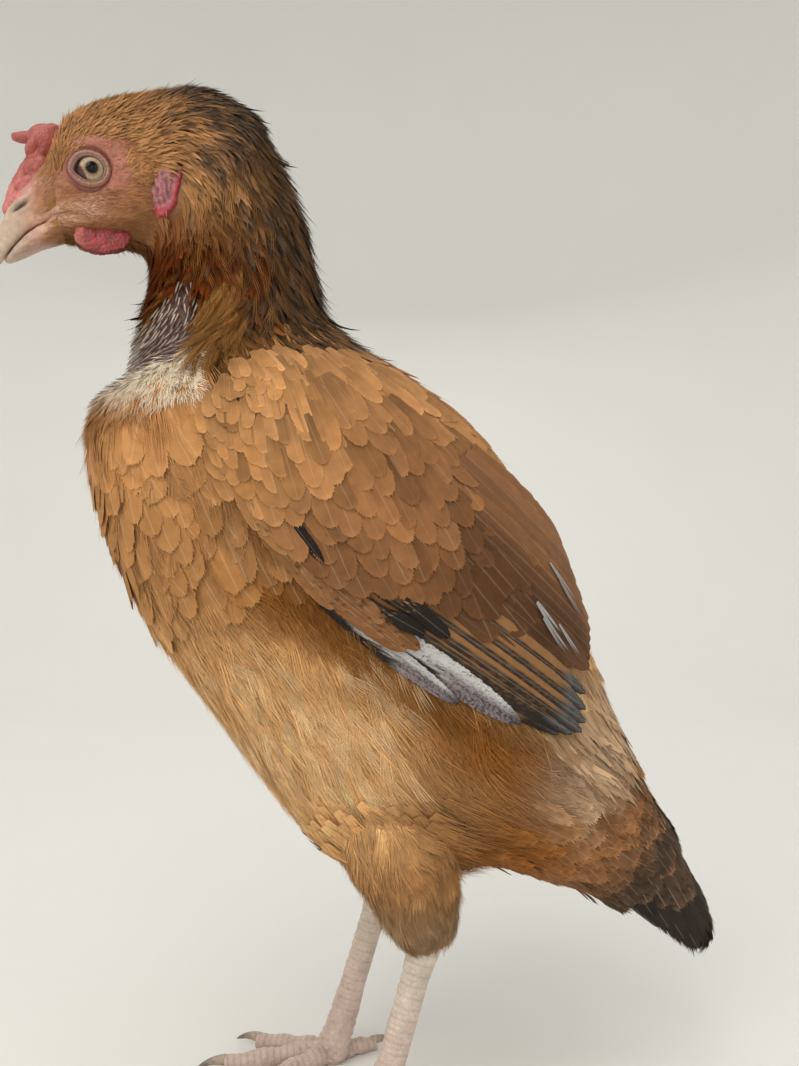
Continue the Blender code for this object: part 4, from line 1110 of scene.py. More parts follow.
def thigh_skin(label):
    """The drumstick under its feathers."""
    body = thigh_sheet(SIDES[label], inset=4.0)
    u, v = np.meshgrid(np.linspace(0, 1.04, 28), rings(40), indexing="ij")
    points = body.read(body.points, u, v)
    # The drumstick's skin is the thigh colour darkened, as painted shade in the gaps between its feathers.
    return closed_form(points, np.broadcast_to(colour("thigh") * 0.7, points.shape), ends=1)


def pad_thickness(p, q):
    """How thick the feathered arm of the folded wing is at p, q."""
    along = np.clip((p - WING_FRONT) / (WING_PAD_END - WING_FRONT), 0.0, 1.0)
    low, high = between(WING_LOWER_EDGE, p), between(WING_UPPER_EDGE, p)
    across = np.clip((q - low) / (high - low), 0.0, 1.0)
    crown = np.sqrt(np.sin(np.pi * across)) * np.minimum(1.0, 0.3 + 2.6 * along)
    thick = WING_EDGE_THICKNESS + (WING_PAD_THICKNESS - WING_EDGE_THICKNESS) * crown
    return thick * (1 - 0.3 * np.maximum(0.0, along - 0.6) / 0.4)


def wing_skin(label):
    """The arm of the folded wing under its coverts."""
    body = sheet(f"wing_{label}")
    start = WING_FRONT + 3
    p, share = np.meshgrid(np.linspace(start, 150, 60), np.linspace(0.04, 0.96, 40), indexing="ij")
    low, high = between(WING_LOWER_EDGE, p), between(WING_UPPER_EDGE, p)
    q = low + (high - low) * share
    lift = np.maximum(pad_thickness(p, q) - 3.2, -2.0)
    edge = np.minimum(np.minimum(share, 1 - share) * 12, 1) * np.minimum((p - start) / 8 + 0.1, 1)
    lift = lift * edge - 4 * (1 - edge)
    points = body.read(body.points, p, q) + body.read(body.normal, p, q) * lift[..., None]
    return open_form(points, np.broadcast_to(colour("wing_brown"), points.shape))


def pin_patch(place, phi):
    """The bare patch of growing pin feathers on the front of the neck, from 0 to 1."""
    high, low = smooth_step(6.0, 6.5, place), smooth_step(9.1, 8.7, place)
    return smooth_step(1.28, 1.10, from_front(phi)) * high * low


# Head pieces


def ball_points(segments, rows):
    h, a = np.meshgrid(np.linspace(0, np.pi, rows), rings(segments), indexing="ij")
    return np.stack((np.sin(h) * np.cos(a), np.sin(h) * np.sin(a), np.cos(h)), -1)


# Rings of the eye from the iris inwards and outwards: linear colour, and where it starts and is full.
EYE_RINGS = (
    ((0.26, 0.17, 0.11), 4.1, 4.5),
    ((0.04, 0.025, 0.02), 4.5, 4.8),
    ((0.001, 0.001, 0.001), 2.55, 2.3),
)


def make_eye(label):
    """The eyeball with its pale iris, black pupil and the membrane in its front corner."""
    side = SIDES[label]
    ball = ball_points(96, 64)
    radius = settings().eye_radius / MM
    x, out, z = ball[..., 0] * radius, ball[..., 2], ball[..., 1] * radius
    y = out * radius + 0.35 * smooth_step(0.82, 1.0, out)
    r, a = np.hypot(x, z), np.arctan2(z, x)
    fibres = 0.12 * np.sin(a * 37 + 3 * np.sin(a * 7)) + 0.08 * np.sin(a * 83)
    tone = mix(np.array((0.28, 0.17, 0.09)), np.array((0.47, 0.34, 0.22)), smooth_step(2.5, 3.5, r))
    tone = tone * (1 + fibres * smooth_step(2.3, 3.0, r))[..., None]
    for ring_tone, start, full in EYE_RINGS:
        tone = mix(tone, np.array(ring_tone), smooth_step(start, full, r))
    corner = smooth_step(-3.2, -4.0, x + 0.5 * z) * smooth_step(1.5, -0.5, z)
    tone = mix(tone, np.array((0.10, 0.045, 0.04)), corner)
    x, y = turned_by(-6.5 * side, x, y * side)
    points = np.stack((x + EYE_CENTRE[0], y + side * EYE_OUT, z + EYE_CENTRE[1]), -1)
    return dress(solid(f"eyeball_{label}", [open_form(points, tone, round_=True)], "wet eye"), "eye",
                 f"eye_{label}")


def blob(centre, radii, about_x=0, about_y=0, about_z=0):
    """Points and faces of an ellipsoid turned in degrees about X, Y, then Z."""
    points = ball_points(40, 24) * np.array(radii)
    spin = Euler([math.radians(turn) for turn in (about_x, about_y, about_z)]).to_matrix()
    points = points @ np.array(spin).T + np.array(centre)
    return points.reshape(-1, 3), grid_faces(24, 40, round_=True)


def fused(name, blobs, voxel, smoothing):
    """Closed forms melted into one smooth surface of comb skin."""
    points, faces = joined(blobs)
    obj = turn_out(new_object(name, new_mesh(name, points * MM, faces), "comb and wattle skin"))
    melt = obj.modifiers.new("melt", "REMESH")
    melt.mode = "VOXEL"
    melt.voxel_size = voxel * MM
    calm = obj.modifiers.new("calm", "SMOOTH")
    calm.factor = 0.5
    calm.iterations = smoothing
    bpy.context.view_layer.update()
    made = bpy.data.meshes.new_from_object(obj.evaluated_get(bpy.context.evaluated_depsgraph_get()))
    obj.modifiers.clear()
    old = obj.data
    obj.data = made
    bpy.data.meshes.remove(old)
    made.name = name
    made.shade_smooth()
    return obj


def relief(obj, height, tone):
    """Moves each point along its normal by height(points), and paints tone(points, height)."""
    mesh = obj.data
    points, normals = (np.empty(len(mesh.vertices) * 3, np.float32) for _ in range(2))
    mesh.vertices.foreach_get("co", points)
    mesh.vertex_normals.foreach_get("vector", normals)
    points, normals = points.reshape(-1, 3) / MM, normals.reshape(-1, 3)
    rise = height(points)
    moved = (points + normals * rise[:, None]) * MM
    mesh.vertices.foreach_set("co", moved.astype(np.float32).ravel())
    set_tones(mesh, tone(points, rise))
    mesh.update()
    return obj


def warty(points, sizes, seed):
    return sum(rise * lumpy(points, size, seed + k) for k, (size, rise) in enumerate(sizes))


def make_comb():
    """A low pea comb: a ridge of small bulbs up the bill's base, and a taller lobe with a finger."""
    blobs = [
        blob((-138.8, 0, 394.6), (6.6, 4.0, 6.2), about_y=-20),
        blob((-145.6, 0, 394.8), (5.2, 2.3, 2.4), about_y=-8),
        blob((-149.2, 0, 395.0), (1.6, 1.6, 1.4)),
        blob((-135.4, 0, 398.6), (3.6, 3.0, 2.6)),
        blob((-140.8, 0, 387.6), (6.0, 3.2, 3.6), about_y=-60),
    ]
    blobs += [blob((-143.0, side * 2.4, 391.0), (2.2, 1.8, 4.4), about_y=24) for side in SIDES.values()]
    for k, (x, z) in enumerate(COMB_RIDGE):
        size = 4.0 - 0.5 * k
        bulbs = [
            ((x + 1.6, 0, z + 3.4), (4.4, 3.6, 3.2)),
            ((x + 2.8, 0, z - 2.4), (4.0, 5.2, 3.4)),
            ((x, 0, z), (size * 1.35, size * 0.8, size * 0.9)),
        ]
        for side in SIDES.values():
            bulbs.append(((x + 2, side * (3.2 - 0.4 * k), z + 1), (size, size * 0.7, size * 0.8)))
            bulbs.append(((x + 4.5, side * 5.2, z + 1.6), (size * 0.9, size * 0.5, size * 0.7)))
        blobs += [blob(*bulb, about_y=-62) for bulb in bulbs]
    obj = fused("pea_comb", blobs, 0.28, 14)

    def height(points):
        pebbles = warty(points, ((3.2, 0.16), (1.5, 0.08), (0.9, 0.04)), 30)
        return pebbles * (0.45 + 0.55 * smooth_step(396, 382, points[:, 2]))

    def tone(points, rise):
        pale = smooth_step(386, 366, points[:, 2])
        made = mix(np.array((0.40, 0.095, 0.075)), np.array((0.62, 0.19, 0.17)), pale)
        # Painted shade and highlight: paler on the raised pebbles and darker in the hollows, by the relief's
        # height.
        shade = (1 + 0.9 * np.clip(rise, -0.3, 0.3)) * (1 + 0.10 * lumpy(points, 5, 35))
        return made * shade[:, None]

    return dress(relief(obj, height, tone), "comb_skin", "comb")


def make_wattle(label):
    """A thin wrinkled flap under the jaw, which hangs lower on the left side."""
    side = SIDES[label]
    drop = 1.1 if side < 0 else -1.1
    obj = fused(f"wattle_fold_{label}", [
        blob((-116.4, side * 9.8, 356.5 - drop), (10.8, 1.5, 5.4 + drop), side * 10, -3),
        blob((-121.8, side * 10.0, 357.5 - drop), (5.0, 1.8, 3.6), side * 10, 14),
        blob((-115.8, side * 9.0, 359.5), (8.0, 2.0, 2.2), about_y=-4),
    ], 0.3, 6)

    def height(points):
        return warty(points, ((1.7, 0.11), (1.0, 0.09), (4.5, 0.2)), 40)

    def tone(points, rise):
        front = smooth_step(-121, -127, points[:, 0])
        made = mix(colour("skin_crimson"), np.array((0.44, 0.12, 0.09)), front)
        made = mix(made, np.array((0.30, 0.045, 0.05)), 0.5 * smooth_step(352.5, 349, points[:, 2]))
        # Painted shade and highlight: paler on the raised wrinkles and darker in the hollows between them.
        return made * (1 + 1.1 * np.clip(rise, -0.3, 0.3) + 0.10 * lumpy(points, 5, 44))[:, None]

    return dress(relief(obj, height, tone), "comb_skin", f"wattle_{label}")


def make_lobe(label):
    """The ear lobe: a wrinkled mauve middle with a red rim behind and below."""
    side = SIDES[label]
    x, y, z = LOBE_CENTRE
    obj = fused(f"ear_lobe_{label}", [
        blob((x - 1.6, side * (y + 0.6), z + 1), (4.9, 3.0, 9.6), 0, 16, side * -8),
        blob((x + 2.2, side * (y + 0.9), z + 2), (1.7, 2.6, 9.8), about_y=12),
        blob((x - 0.4, side * (y + 1.1), z - 6.0), (2.0, 2.4, 4.4), about_y=40),
        blob((x - 3.2, side * (y + 0.2), z - 8.1), (3.2, 2.8, 2.4), about_y=30),
    ], 0.3, 6)

    def across(points):
        return (points[:, 0] - x) * 0.97 + (points[:, 2] - z) * -0.24

    def height(points):
        wrinkle = np.sin((points[:, 0] + 0.35 * points[:, 2]) * 2.6 + 2.6 * lumpy(points, 6, 51))
        inside = smooth_step(1.2, -0.6, across(points))
        return inside * (0.14 * wrinkle + 0.22 * lumpy(points, 2.4, 52)) + 0.12 * lumpy(points, 3, 53)

    def tone(points, rise):
        rim = np.maximum(smooth_step(0.6, 2.2, across(points)), smooth_step(367.0, 364.0, points[:, 2]))
        made = mix(colour("skin_mauve"), np.array((0.46, 0.06, 0.075)), rim)
        # Painted shade and highlight: paler on the raised wrinkles and darker in the hollows between them.
        return made * (1 + 1.3 * np.clip(rise, -0.35, 0.35))[:, None]

    return dress(relief(obj, height, tone), "comb_skin", f"earlobe_{label}")


def bill_points(upper, place, phi):
    """Points of one half of the bill, boxy where the halves meet, and the way out of it."""
    rows = np.array([(*b, *f, w) for b, f, w in (UPPER_BILL if upper else LOWER_BILL)], float)
    row = rows_at(rows, place)
    middle, arm = (row[..., 0:2] + row[..., 2:4]) / 2, (row[..., 0:2] - row[..., 2:4]) / 2
    cos, sin = np.cos(phi), np.sin(phi)
    boxy = smooth_step(0.25, -0.25, cos) if upper else smooth_step(-0.25, 0.25, cos)
    cos = np.sign(cos) * np.abs(cos) ** (1 - 0.5 * boxy)
    sin = np.sign(sin) * np.abs(sin) ** (1 - 0.6 * boxy)
    spot = middle + arm * cos[..., None]
    points = np.stack((spot[..., 0], row[..., 4] * sin, spot[..., 1]), -1)
    return points, unit(points - np.stack((middle[..., 0], 0 * place, middle[..., 1]), -1))


def make_bill(half):
    """A hooked half of the bill, with its nostril, growth ridges and worn tip."""
    upper = half == "upper"
    places = np.linspace(-0.5, len(UPPER_BILL if upper else LOWER_BILL) - 1, 120)
    place, phi = np.meshgrid(places, rings(120), indexing="ij")
    points, out = bill_points(upper, place, phi)
    x, z = points[..., 0], points[..., 2]
    soft = smooth_step(-148.5, -142.5, x)
    rise = 0.035 * np.sin(place * 34 + 1.2 * np.sin(phi * 3)) * (1 - soft)
    rise = rise + soft * 0.16 * lumpy(points, 2.4, 61) + 0.07 * lumpy(points, 3.5, 62)
    horn = mix(np.array((0.56, 0.42, 0.31)), np.array((0.48, 0.32, 0.24)), smooth_step(-154, -140, x))
    if upper:
        flesh = mix(colour("skin_pale"), np.array((0.60, 0.28, 0.22)), smooth_step(366, 376, z))
        u, v = turned_by(-32, x - NOSTRIL[0], z - NOSTRIL[1])
        slit = np.exp(-(u / 3.4) ** 4 - (v / 0.75) ** 2)
        rise = rise - 1.6 * slit + 1.0 * np.exp(-(u / 4.4) ** 2 - ((v - 1.9) / 1.1) ** 2)
        rise = rise + 0.5 * np.exp(-(u / 4.4) ** 2 - ((v + 1.8) / 0.9) ** 2)
        tone = mix(mix(horn, flesh, soft), head_skin_marking(points), smooth_step(-145, -139.5, x))
        # Painted shade: the nostril's hollow darkened nearly to black.
        tone = tone * (1 - 0.9 * slit)[..., None]
    else:
        tone = mix(horn * 0.9, np.array((0.52, 0.30, 0.23)), smooth_step(-148, -142, x))
        tone = mix(tone, head_skin_marking(points), smooth_step(-142, -137, x))
    streaks = lumpy(np.stack((x * 0.4, points[..., 1] * 2, z * 1.2), -1), 3.0, 63)
    form = closed_form(points + out * rise[..., None], tone * (1 + 0.10 * streaks)[..., None])
    return dress(solid(f"{half}_bill_horn", [form], "bill and claw horn"), "bill_horn", f"{half}_bill")


# Plumage


def vary(draw, count, amount=0.1):
    """A light or dark share for each feather, with a slight warm or cool cast."""
    value = 1 + draw.normal(size=(count, 1)) * amount
    cast = 1 + draw.normal(size=(count, 1)) * np.array((0.01, 0.0, -0.03))
    return np.clip(value, 0.55, 1.5) * cast


def grow(coat, name, patterns, roots, length, width, lift, tone_of, draw, turn=0.0, steps=5, spread=0.12,
         amount=0.09, base=None, flare=0.0, swirl=0.0, patchy=0.0, sink=0.0, **look):
    """Lays feathers of a few patterns on a sheet's roots, each varied a little.

    tone_of is a colour, or gives one for each place, and base is its share at the root, which darkens
    the root partly as the feather's own colour and partly as painted shade. swirl turns and patchy
    tones whole tufts of neighbours together, flare lifts their tips, and sink lowers each feather.
    """
    body, count = sheet(name), len(roots)
    spots = body.spots(roots)
    turn = turn + swirl * lumpy(spots, 16.0, 201)
    shade = 1 + patchy * lumpy(spots, 11.0, 202)
    flare = flare * (0.35 * draw.exponential(size=count) + np.maximum(0, lumpy(spots, 12.0, 203)))
    length = length * settings().feather_length * draw.uniform(0.88, 1.12, count)
    width = width * draw.uniform(0.88, 1.12, count)
    turn = turn + draw.normal(size=count) * spread
    tilt = draw.normal(size=count) * 0.06
    choice = draw.integers(0, len(patterns), count)
    sink = np.broadcast_to(sink, count)
    patch = bake_place(name, *roots.T)
    for k, pattern in enumerate(patterns):
        own = choice == k
        if not own.any():
            continue
        spine = walk(body, *roots[own].T, turn[own], length[own], steps)
        plain = tone_of(spine[0][:, steps // 2]) if callable(tone_of) else tone_of
        tone = plain * vary(draw, int(own.sum()), amount) * shade[own, None]
        coat.add(pattern, spine, length[own], width[own], (lift[0] - sink[own], *lift[1:]), tone,
                 patch[own], tilt=tilt[own], base=None if base is None else plain * base,
                 flare=flare[own], **look)


def soft_vanes(rows, fringe, fray, seeds):
    """Rounded feathers of the body."""
    return [leaf(rows, 5, 0.4, 0.5, 2.2, 0.12, fringe, seed, fray=fray) for seed in seeds]


def tufts(count, spread, thick, seeds):
    return [tuft(count, spread, thick, seed) for seed in seeds]


def body_roots(u_low, u_high, columns, spacing, draw, keep):
    """Roots down the whole body, wherever keep is true of their places and of the roots."""
    body = sheet("body")
    roots = column_roots(body, u_low, u_high, columns, spacing, draw)
    return roots[keep(body.spots(roots), roots)]


# How low the crown's feathers reach down each side of the head: x, then z.
CROWN_EDGE = ((-140, 374), (-131, 379), (-127, 388.5), (-121, 392.5), (-108, 391.5), (-103, 387), (-98, 382))


def from_lobe(x, z):
    return np.hypot(x + 92.5, (z - 373) / 2.2)


def from_ear(x, z):
    return np.hypot(x + 100, z - 383)


# Bristles at the root of the bill: sheet, count, how far they reach along it, and their turns.
BILL_BRISTLES = (("bill_upper", 900, 1.2, 0.25, 2.3), ("bill_lower", 500, 0.9, 1.2, 3.1))


def head_coat():
    """Short bristly feathers: golden on the crown, thin and rusty on the face, dark on the nape."""
    draw = np.random.default_rng(101)
    coat = Coat("feathers_head")
    density = settings().head_density

    def off_bare(points, roots):
        x, y, z = coordinates(points)
        bare = (z < between(CROWN_EDGE, x) + draw.normal(size=len(x)) * 1.6) & (x < -98) & (y > 6)
        comb = (x < -133) & (y < 7)
        return ~bare & ~comb & (from_lobe(x, z) >= 5.5)

    def on_face(points, roots):
        x, y, z = coordinates(points)
        r = from_eye(x, z)
        comb = (x < -137) & (z > 366)
        thin = draw.uniform(size=len(x))
        bare = smooth_step(17, 11, r) * smooth_step(369, 375, z)
        bare = np.maximum(bare, 0.8 * smooth_step(-130, -134, x) * (z < 374))
        bare = np.where(from_ear(x, z) < 8, 0.0, bare)
        free = (r > 8.4) & (y > 4) & ~comb & (from_lobe(x, z) >= 5.0)
        return free & (z < between(CROWN_EDGE, x) + 2) & (thin > 0.9 * bare)

    def face_tone(points):
        x, _, z = coordinates(points)
        tone = mix(colour("cheek"), colour("crown"), smooth_step(-112, -130, x))
        return mix(tone, colour("ear_gold"), smooth_step(10, 5, from_ear(x, z)))

    spacing = ((0, 2, 5), np.array((0.95, 1.15, 1.6)) / density)
    roots = body_roots(0.2, 4.9, 190, spacing, draw, off_bare)
    long_ = np.interp(roots[:, 0], (0.2, 1.0, 2, 3, 5), (3.2, 5.0, 7.0, 9.5, 13.0))
    wide = np.interp(roots[:, 0], (0.4, 2, 5), (0.75, 1.0, 1.6))
    grow(coat, "body", [lance(5, 0.08), lance(5, 0.25)], roots, long_, wide, (-0.8, 1.7), neck_marking, draw,
         spread=0.17, steps=4, shaft=0.1, amount=0.15, flare=1.6, swirl=0.16, patchy=0.16)
    roots = body_roots(0.0, 3.7, 230, 0.8 / density, draw, on_face)
    x, _, z = coordinates(sheet("face").spots(roots))
    ear = smooth_step(10, 5, from_ear(x, z))
    rear = smooth_step(-122, -102, x) * smooth_step(378, 368, z)
    long_ = 2.4 + 3.4 * ear + 3.0 * smooth_step(-120, -100, x) + 1.5 * rear
    grow(coat, "face", [tuft(7, 0.9, 0.08, 3)], roots[ear > 0.3][::3], 6.5, 3.2, (-0.4, 2.3),
         colour("ear_gold") * 1.2, draw, spread=0.35, shaft=0.0, amount=0.2, flare=0.8, swirl=0.3)
    grow(coat, "face", [bristle()], roots, long_, 0.26 + 0.25 * ear + 0.2 * rear, (-0.1, 0.7), face_tone,
         draw, spread=0.25, steps=3, shaft=0.0, amount=0.15, flare=0.5, swirl=0.25, patchy=0.12)
    for name, count, high, first, last in BILL_BRISTLES:
        u = -0.3 + high * draw.power(0.55, count) * draw.uniform(0.2, 1.0, count)
        phi = draw.uniform(first, last, count)
        phi = np.where(draw.uniform(size=count) < 0.5, phi, 2 * np.pi - phi)
        grow(coat, name, [bristle()], np.stack((u, phi), 1), 2.6, 0.22, (0.0, 0.9), face_tone, draw,
             turn=np.pi, spread=0.3, steps=3, shaft=0.0, amount=0.15)
    coat.make("plumage")


def neck_coat():
    """Hackles: narrow, loose and ragged, dark behind, with golden strands down the sides."""
    draw = np.random.default_rng(202)
    coat = Coat("feathers_neck")

    def clear(points, roots):
        place, phi = roots.T
        front = from_front(phi) < 1.45 - 0.1 * draw.uniform(size=len(roots))
        bare = pin_patch(place, phi) > 0.3 + 0.5 * draw.uniform(size=len(roots))
        return ~bare & ~(front & (place > 7.8))

    def in_front(roots):
        return smooth_step(1.5, 1.1, from_front(roots[:, 1]))

    roots = body_roots(4.5, 9.6, 128, ((4.5, 9.6), (2.4, 3.4)), draw, clear)
    long_ = np.interp(roots[:, 0], (4.5, 7, 9.6), (14, 20, 24))
    long_ = long_ * (1 - 0.6 * in_front(roots) * smooth_step(4.6, 5.5, roots[:, 0]))
    wide = np.interp(roots[:, 0], (4.5, 9.6), (2.2, 3.4))
    hairs = [tuft(7, 0.8, 0.11, 4), lance(6, 0.3), tuft(7, 0.8, 0.12, 6), tuft(8, 0.9, 0.10, 7)]
    # base darkens the hackles' roots: partly their own darker down, partly painted shade under the hackles
    # above.
    grow(coat, "body", hairs, roots, long_, wide, (-2.4, 3.0, 0.8), neck_marking, draw, spread=0.16,
         shaft=0.1, amount=0.18, base=0.6, flare=3.0, swirl=0.24, patchy=0.22, soft=0.6)
    roots = body_roots(5.0, 9.4, 64, 6.0, draw, clear)
    grow(coat, "body", [tuft(5, 1.0, 0.09, 9)], roots, 22.0 - 13.0 * in_front(roots), 3.4, (-1.0, 3.0),
         lambda points: mix(neck_marking(points), colour("hackle_gold"), 0.5), draw,
         spread=0.25, shaft=0.0, amount=0.25, flare=2.5, swirl=0.25, patchy=0.2)
    count = 170
    lock = np.stack((draw.uniform(7.0, 8.8, count), 2 * np.pi - draw.uniform(1.35, 1.78, count)), 1)
    strands = [tuft(7, 0.9, 0.07, 10), tuft(7, 0.8, 0.08, 11)]
    for roots, turn in ((other_side(lock), 0.35), (lock, -0.35)):
        grow(coat, "body", strands, roots, draw.uniform(18, 28, count), 3.2, (-0.5, 3.4),
             colour("hackle_gold"), draw, turn=turn, shaft=0.1, amount=0.25, flare=1.0)
    coat.make("hackle")


def pin_feathers():
    """Growing feathers in their sheaths, with dark tufts at their tips, on the bare neck patch."""
    draw = np.random.default_rng(303)
    coat = Coat("pin_feathers")
    roots = body_roots(6.0, 8.8, 66, 2.9, draw, lambda points, roots: pin_patch(*roots.T) > 0.2)

    def sheath(tone, along, u):
        return mix(tone, colour("nape_dark") * 1.5, smooth_step(0.6, 0.85, along))

    grow(coat, "body", [quill_pattern(6)], roots, 7.0, 0.7, (-2.0, 4.6), colour("quill") * 0.9, draw,
         spread=0.14, shaft=0.0, amount=0.3, paint=sheath, soft=0.3)
    grow(coat, "body", [tuft(6, 0.8, seed=8)], roots + (0.3, 0.02), 4.5, 2.0, (-1.2, 3.4),
         colour("nape_dark") * 1.2, draw, spread=0.3, shaft=0.0, amount=0.3)
    coat.make("hackle")


def quill_pattern(sides):
    vertices, faces = [], []
    for along, half in ((0, 1.0), (0.3, 1.0), (0.7, 0.8), (1.0, 0.12)):
        for k in range(sides):
            a = 2 * math.pi * k / sides
            vertices.append((along, half * math.cos(a), half * math.sin(a)))
    for i in range(3):
        for k in range(sides):
            n = (k + 1) % sides
            a, b = i * sides, (i + 1) * sides
            faces += [(a + k, b + n, a + n), (a + k, b + k, b + n)]
    return Pattern(vertices, faces)


def breast_coat():
    """Broad soft buff feathers fanned over the breast, with loose tufts between them."""
    draw = np.random.default_rng(404)
    coat = Coat("feathers_breast")

    def keep(points, roots):
        return ~under_wing(points, 12) & (pin_patch(*roots.T) < 0.5)

    roots = body_roots(9.3, 12.4, 44, 7.0, draw, keep)
    grow(coat, "body", soft_vanes(15, 0.012, 0.12, (11, 12, 13)), roots, 26.0, 13.5, (-1.2, 1.6),
         body_marking, draw, spread=0.13, shaft=0.4, edge=0.12, amount=0.07, flare=1.3, swirl=0.15,
         patchy=0.1)
    roots = body_roots(8.8, 13.8, 60, 8.0, draw, keep)
    grow(coat, "body", tufts(12, 0.95, 0.05, (14, 15)), roots, 22.0, 10.0, (-1.0, 2.0), body_marking, draw,
         spread=0.22, shaft=0.0, amount=0.1, flare=2.6, swirl=0.25, patchy=0.1)
    coat.make("plumage")


def down():
    """A collar of cream down where the neck's bare patch meets the breast."""
    draw = np.random.default_rng(505)
    coat = Coat("down")
    count = 900
    roots = np.stack((draw.uniform(8.35, 9.6, count), np.pi + 1.3 * draw.uniform(-1, 1, count)), 1)

    def tone(points):
        low = smooth_step(294, 280, points[:, 2] + 0.2 * (points[:, 0] + 100))
        return mix(colour("cream"), colour("breast"), low)

    grow(coat, "body", tufts(12, 1.0, 0.045, (16, 17)), roots, 13.0, 9.0, (-2.5, 4.5), tone, draw,
         spread=0.4, shaft=0.0, amount=0.06, flare=1.5)
    coat.make("plumage")


def belly_coat():
    """Loose fluffy feathers over flanks and belly, with a few pale shafts and strands."""
    draw = np.random.default_rng(606)

    def keep(points, roots):
        return ~under_wing(points, 12) & ~inside_thigh(points, 4)

    coat = Coat("feathers_belly")
    roots = body_roots(12.3, 19.0, 80, 5.2, draw, keep)
    x, _, z = coordinates(sheet("body").spots(roots))
    over_thigh = smooth_step(144, 126, z) * smooth_step(38, 18, np.abs(x + 8))
    grow(coat, "body", tufts(12, 0.95, 0.036, (21, 22, 23)), roots, 28.0, 9.5, (-0.9, 2.1), body_marking,
         draw, spread=0.13, shaft=0.0, amount=0.11, flare=1.4, swirl=0.38, patchy=0.12,
         sink=-5.0 * over_thigh)
    coat.make("plumage")
    coat = Coat("feathers_flank")
    roots = body_roots(13.2, 19.4, 44, 7.4, draw, keep)
    grow(coat, "body", soft_vanes(14, 0.02, 0.12, (24, 25)), roots, 28.0, 14.0, (-2.8, 1.7), body_marking,
         draw, spread=0.15, shaft=0.4, edge=0.04, amount=0.04, flare=0.3, swirl=0.3, patchy=0.08)
    count = 420
    wisps = np.stack((draw.uniform(13.0, 16.0, count), draw.uniform(1.2, np.pi, count)), 1)
    wisps = np.concatenate((wisps, other_side(wisps)))
    x, _, z = coordinates(sheet("body").spots(wisps))
    low_front = smooth_step(5, -25, x) * smooth_step(205, 180, z)
    wisps = wisps[low_front > draw.uniform(size=len(wisps))]
    grow(coat, "body", [tuft(9, 0.9, 0.04, 27), tuft(9, 0.9, 0.05, 28)], wisps, 24.0, 6.5, (-0.4, 2.1),
         lambda points: mix(body_marking(points), colour("down_gold"), 0.5), draw,
         spread=0.2, shaft=0.0, amount=0.12, flare=1.4, swirl=0.4, patchy=0.2)
    roots = body_roots(13.2, 18.6, 44, 19.0, draw, keep)
    grow(coat, "body", [lance(6, 0.2)], roots, 19.0, 0.42, (0.2, 1.3),
         lambda points: body_marking(points) * 1.25, draw, spread=0.16, shaft=0.2, amount=0.12, flare=1.0,
         swirl=0.38)
    coat.make("plumage")


def speckled(waves, faint, start, strength, rim=(0.0, 1, 0.0), shift=0.0, half=0):
    """Paints dark specks, and a pale rim given by where it starts, its power and its strength.

    The specks are where waves along and across cross, from start on, on one half if that is given.
    """
    def paint(tone, along, u):
        speck = np.sin(along * waves[0] + u * waves[1] + shift) * np.sin(u * waves[2] - along * waves[3])
        dark = strength * smooth_step(*faint, speck) * smooth_step(*start, along)
        if half:
            dark = dark * smooth_step(-0.2, 0.2, half * u)
        pale = np.clip(np.maximum(np.abs(u) * 1.1, smooth_step(rim[0], 1.0, along)), 0, 1) ** rim[1]
        return tone * (1 - dark + rim[2] * pale)[:, None]

    return paint


def back_coat():
    """The back between the wings, then the saddle, rump and under-tail feathers."""
    draw = np.random.default_rng(707)
    coat = Coat("feathers_back")
    roots = body_roots(9.2, 17.5, 52, 6.5, draw,
                       lambda points, roots: (np.cos(roots[:, 1]) > 0.35) & ~under_wing(points, 9))
    grow(coat, "body", soft_vanes(12, 0.02, 0.2, (31, 32)), roots, 24.0, 11.5, (-1.4, 1.8), body_marking,
         draw, shaft=0.3, edge=0.14, amount=0.08, flare=0.7, swirl=0.12, patchy=0.1)
    roots = body_roots(16.6, 19.6, 40, 7.0, draw, lambda points, roots: ~under_wing(points, 14))
    paint = speckled((41, 17, 29, 23), (0.35, 0.8), (0.2, 0.5), 0.35, rim=(0.86, 5, 0.45))
    grow(coat, "body", soft_vanes(13, 0.02, 0.25, (33, 34, 35)), roots, 30.0, 10.5, (-1.0, 1.8),
         body_marking, draw, spread=0.14, shaft=0.35, amount=0.10, paint=paint, flare=1.0, swirl=0.12,
         patchy=0.14)
    count = 150
    roots = np.stack((draw.uniform(15.6, 17.4, count), draw.uniform(0.5, 1.25, count)), 1)
    roots = np.concatenate((roots, other_side(roots)))
    grow(coat, "body", [tuft(5, 0.9, 0.08, 36), lance(6, 0.2)], roots, 34.0, 3.0, (-0.4, 2.2),
         colour("rump") * 1.25, draw, amount=0.16, shaft=0.2, flare=1.0, swirl=0.12)
    coat.make("plumage")


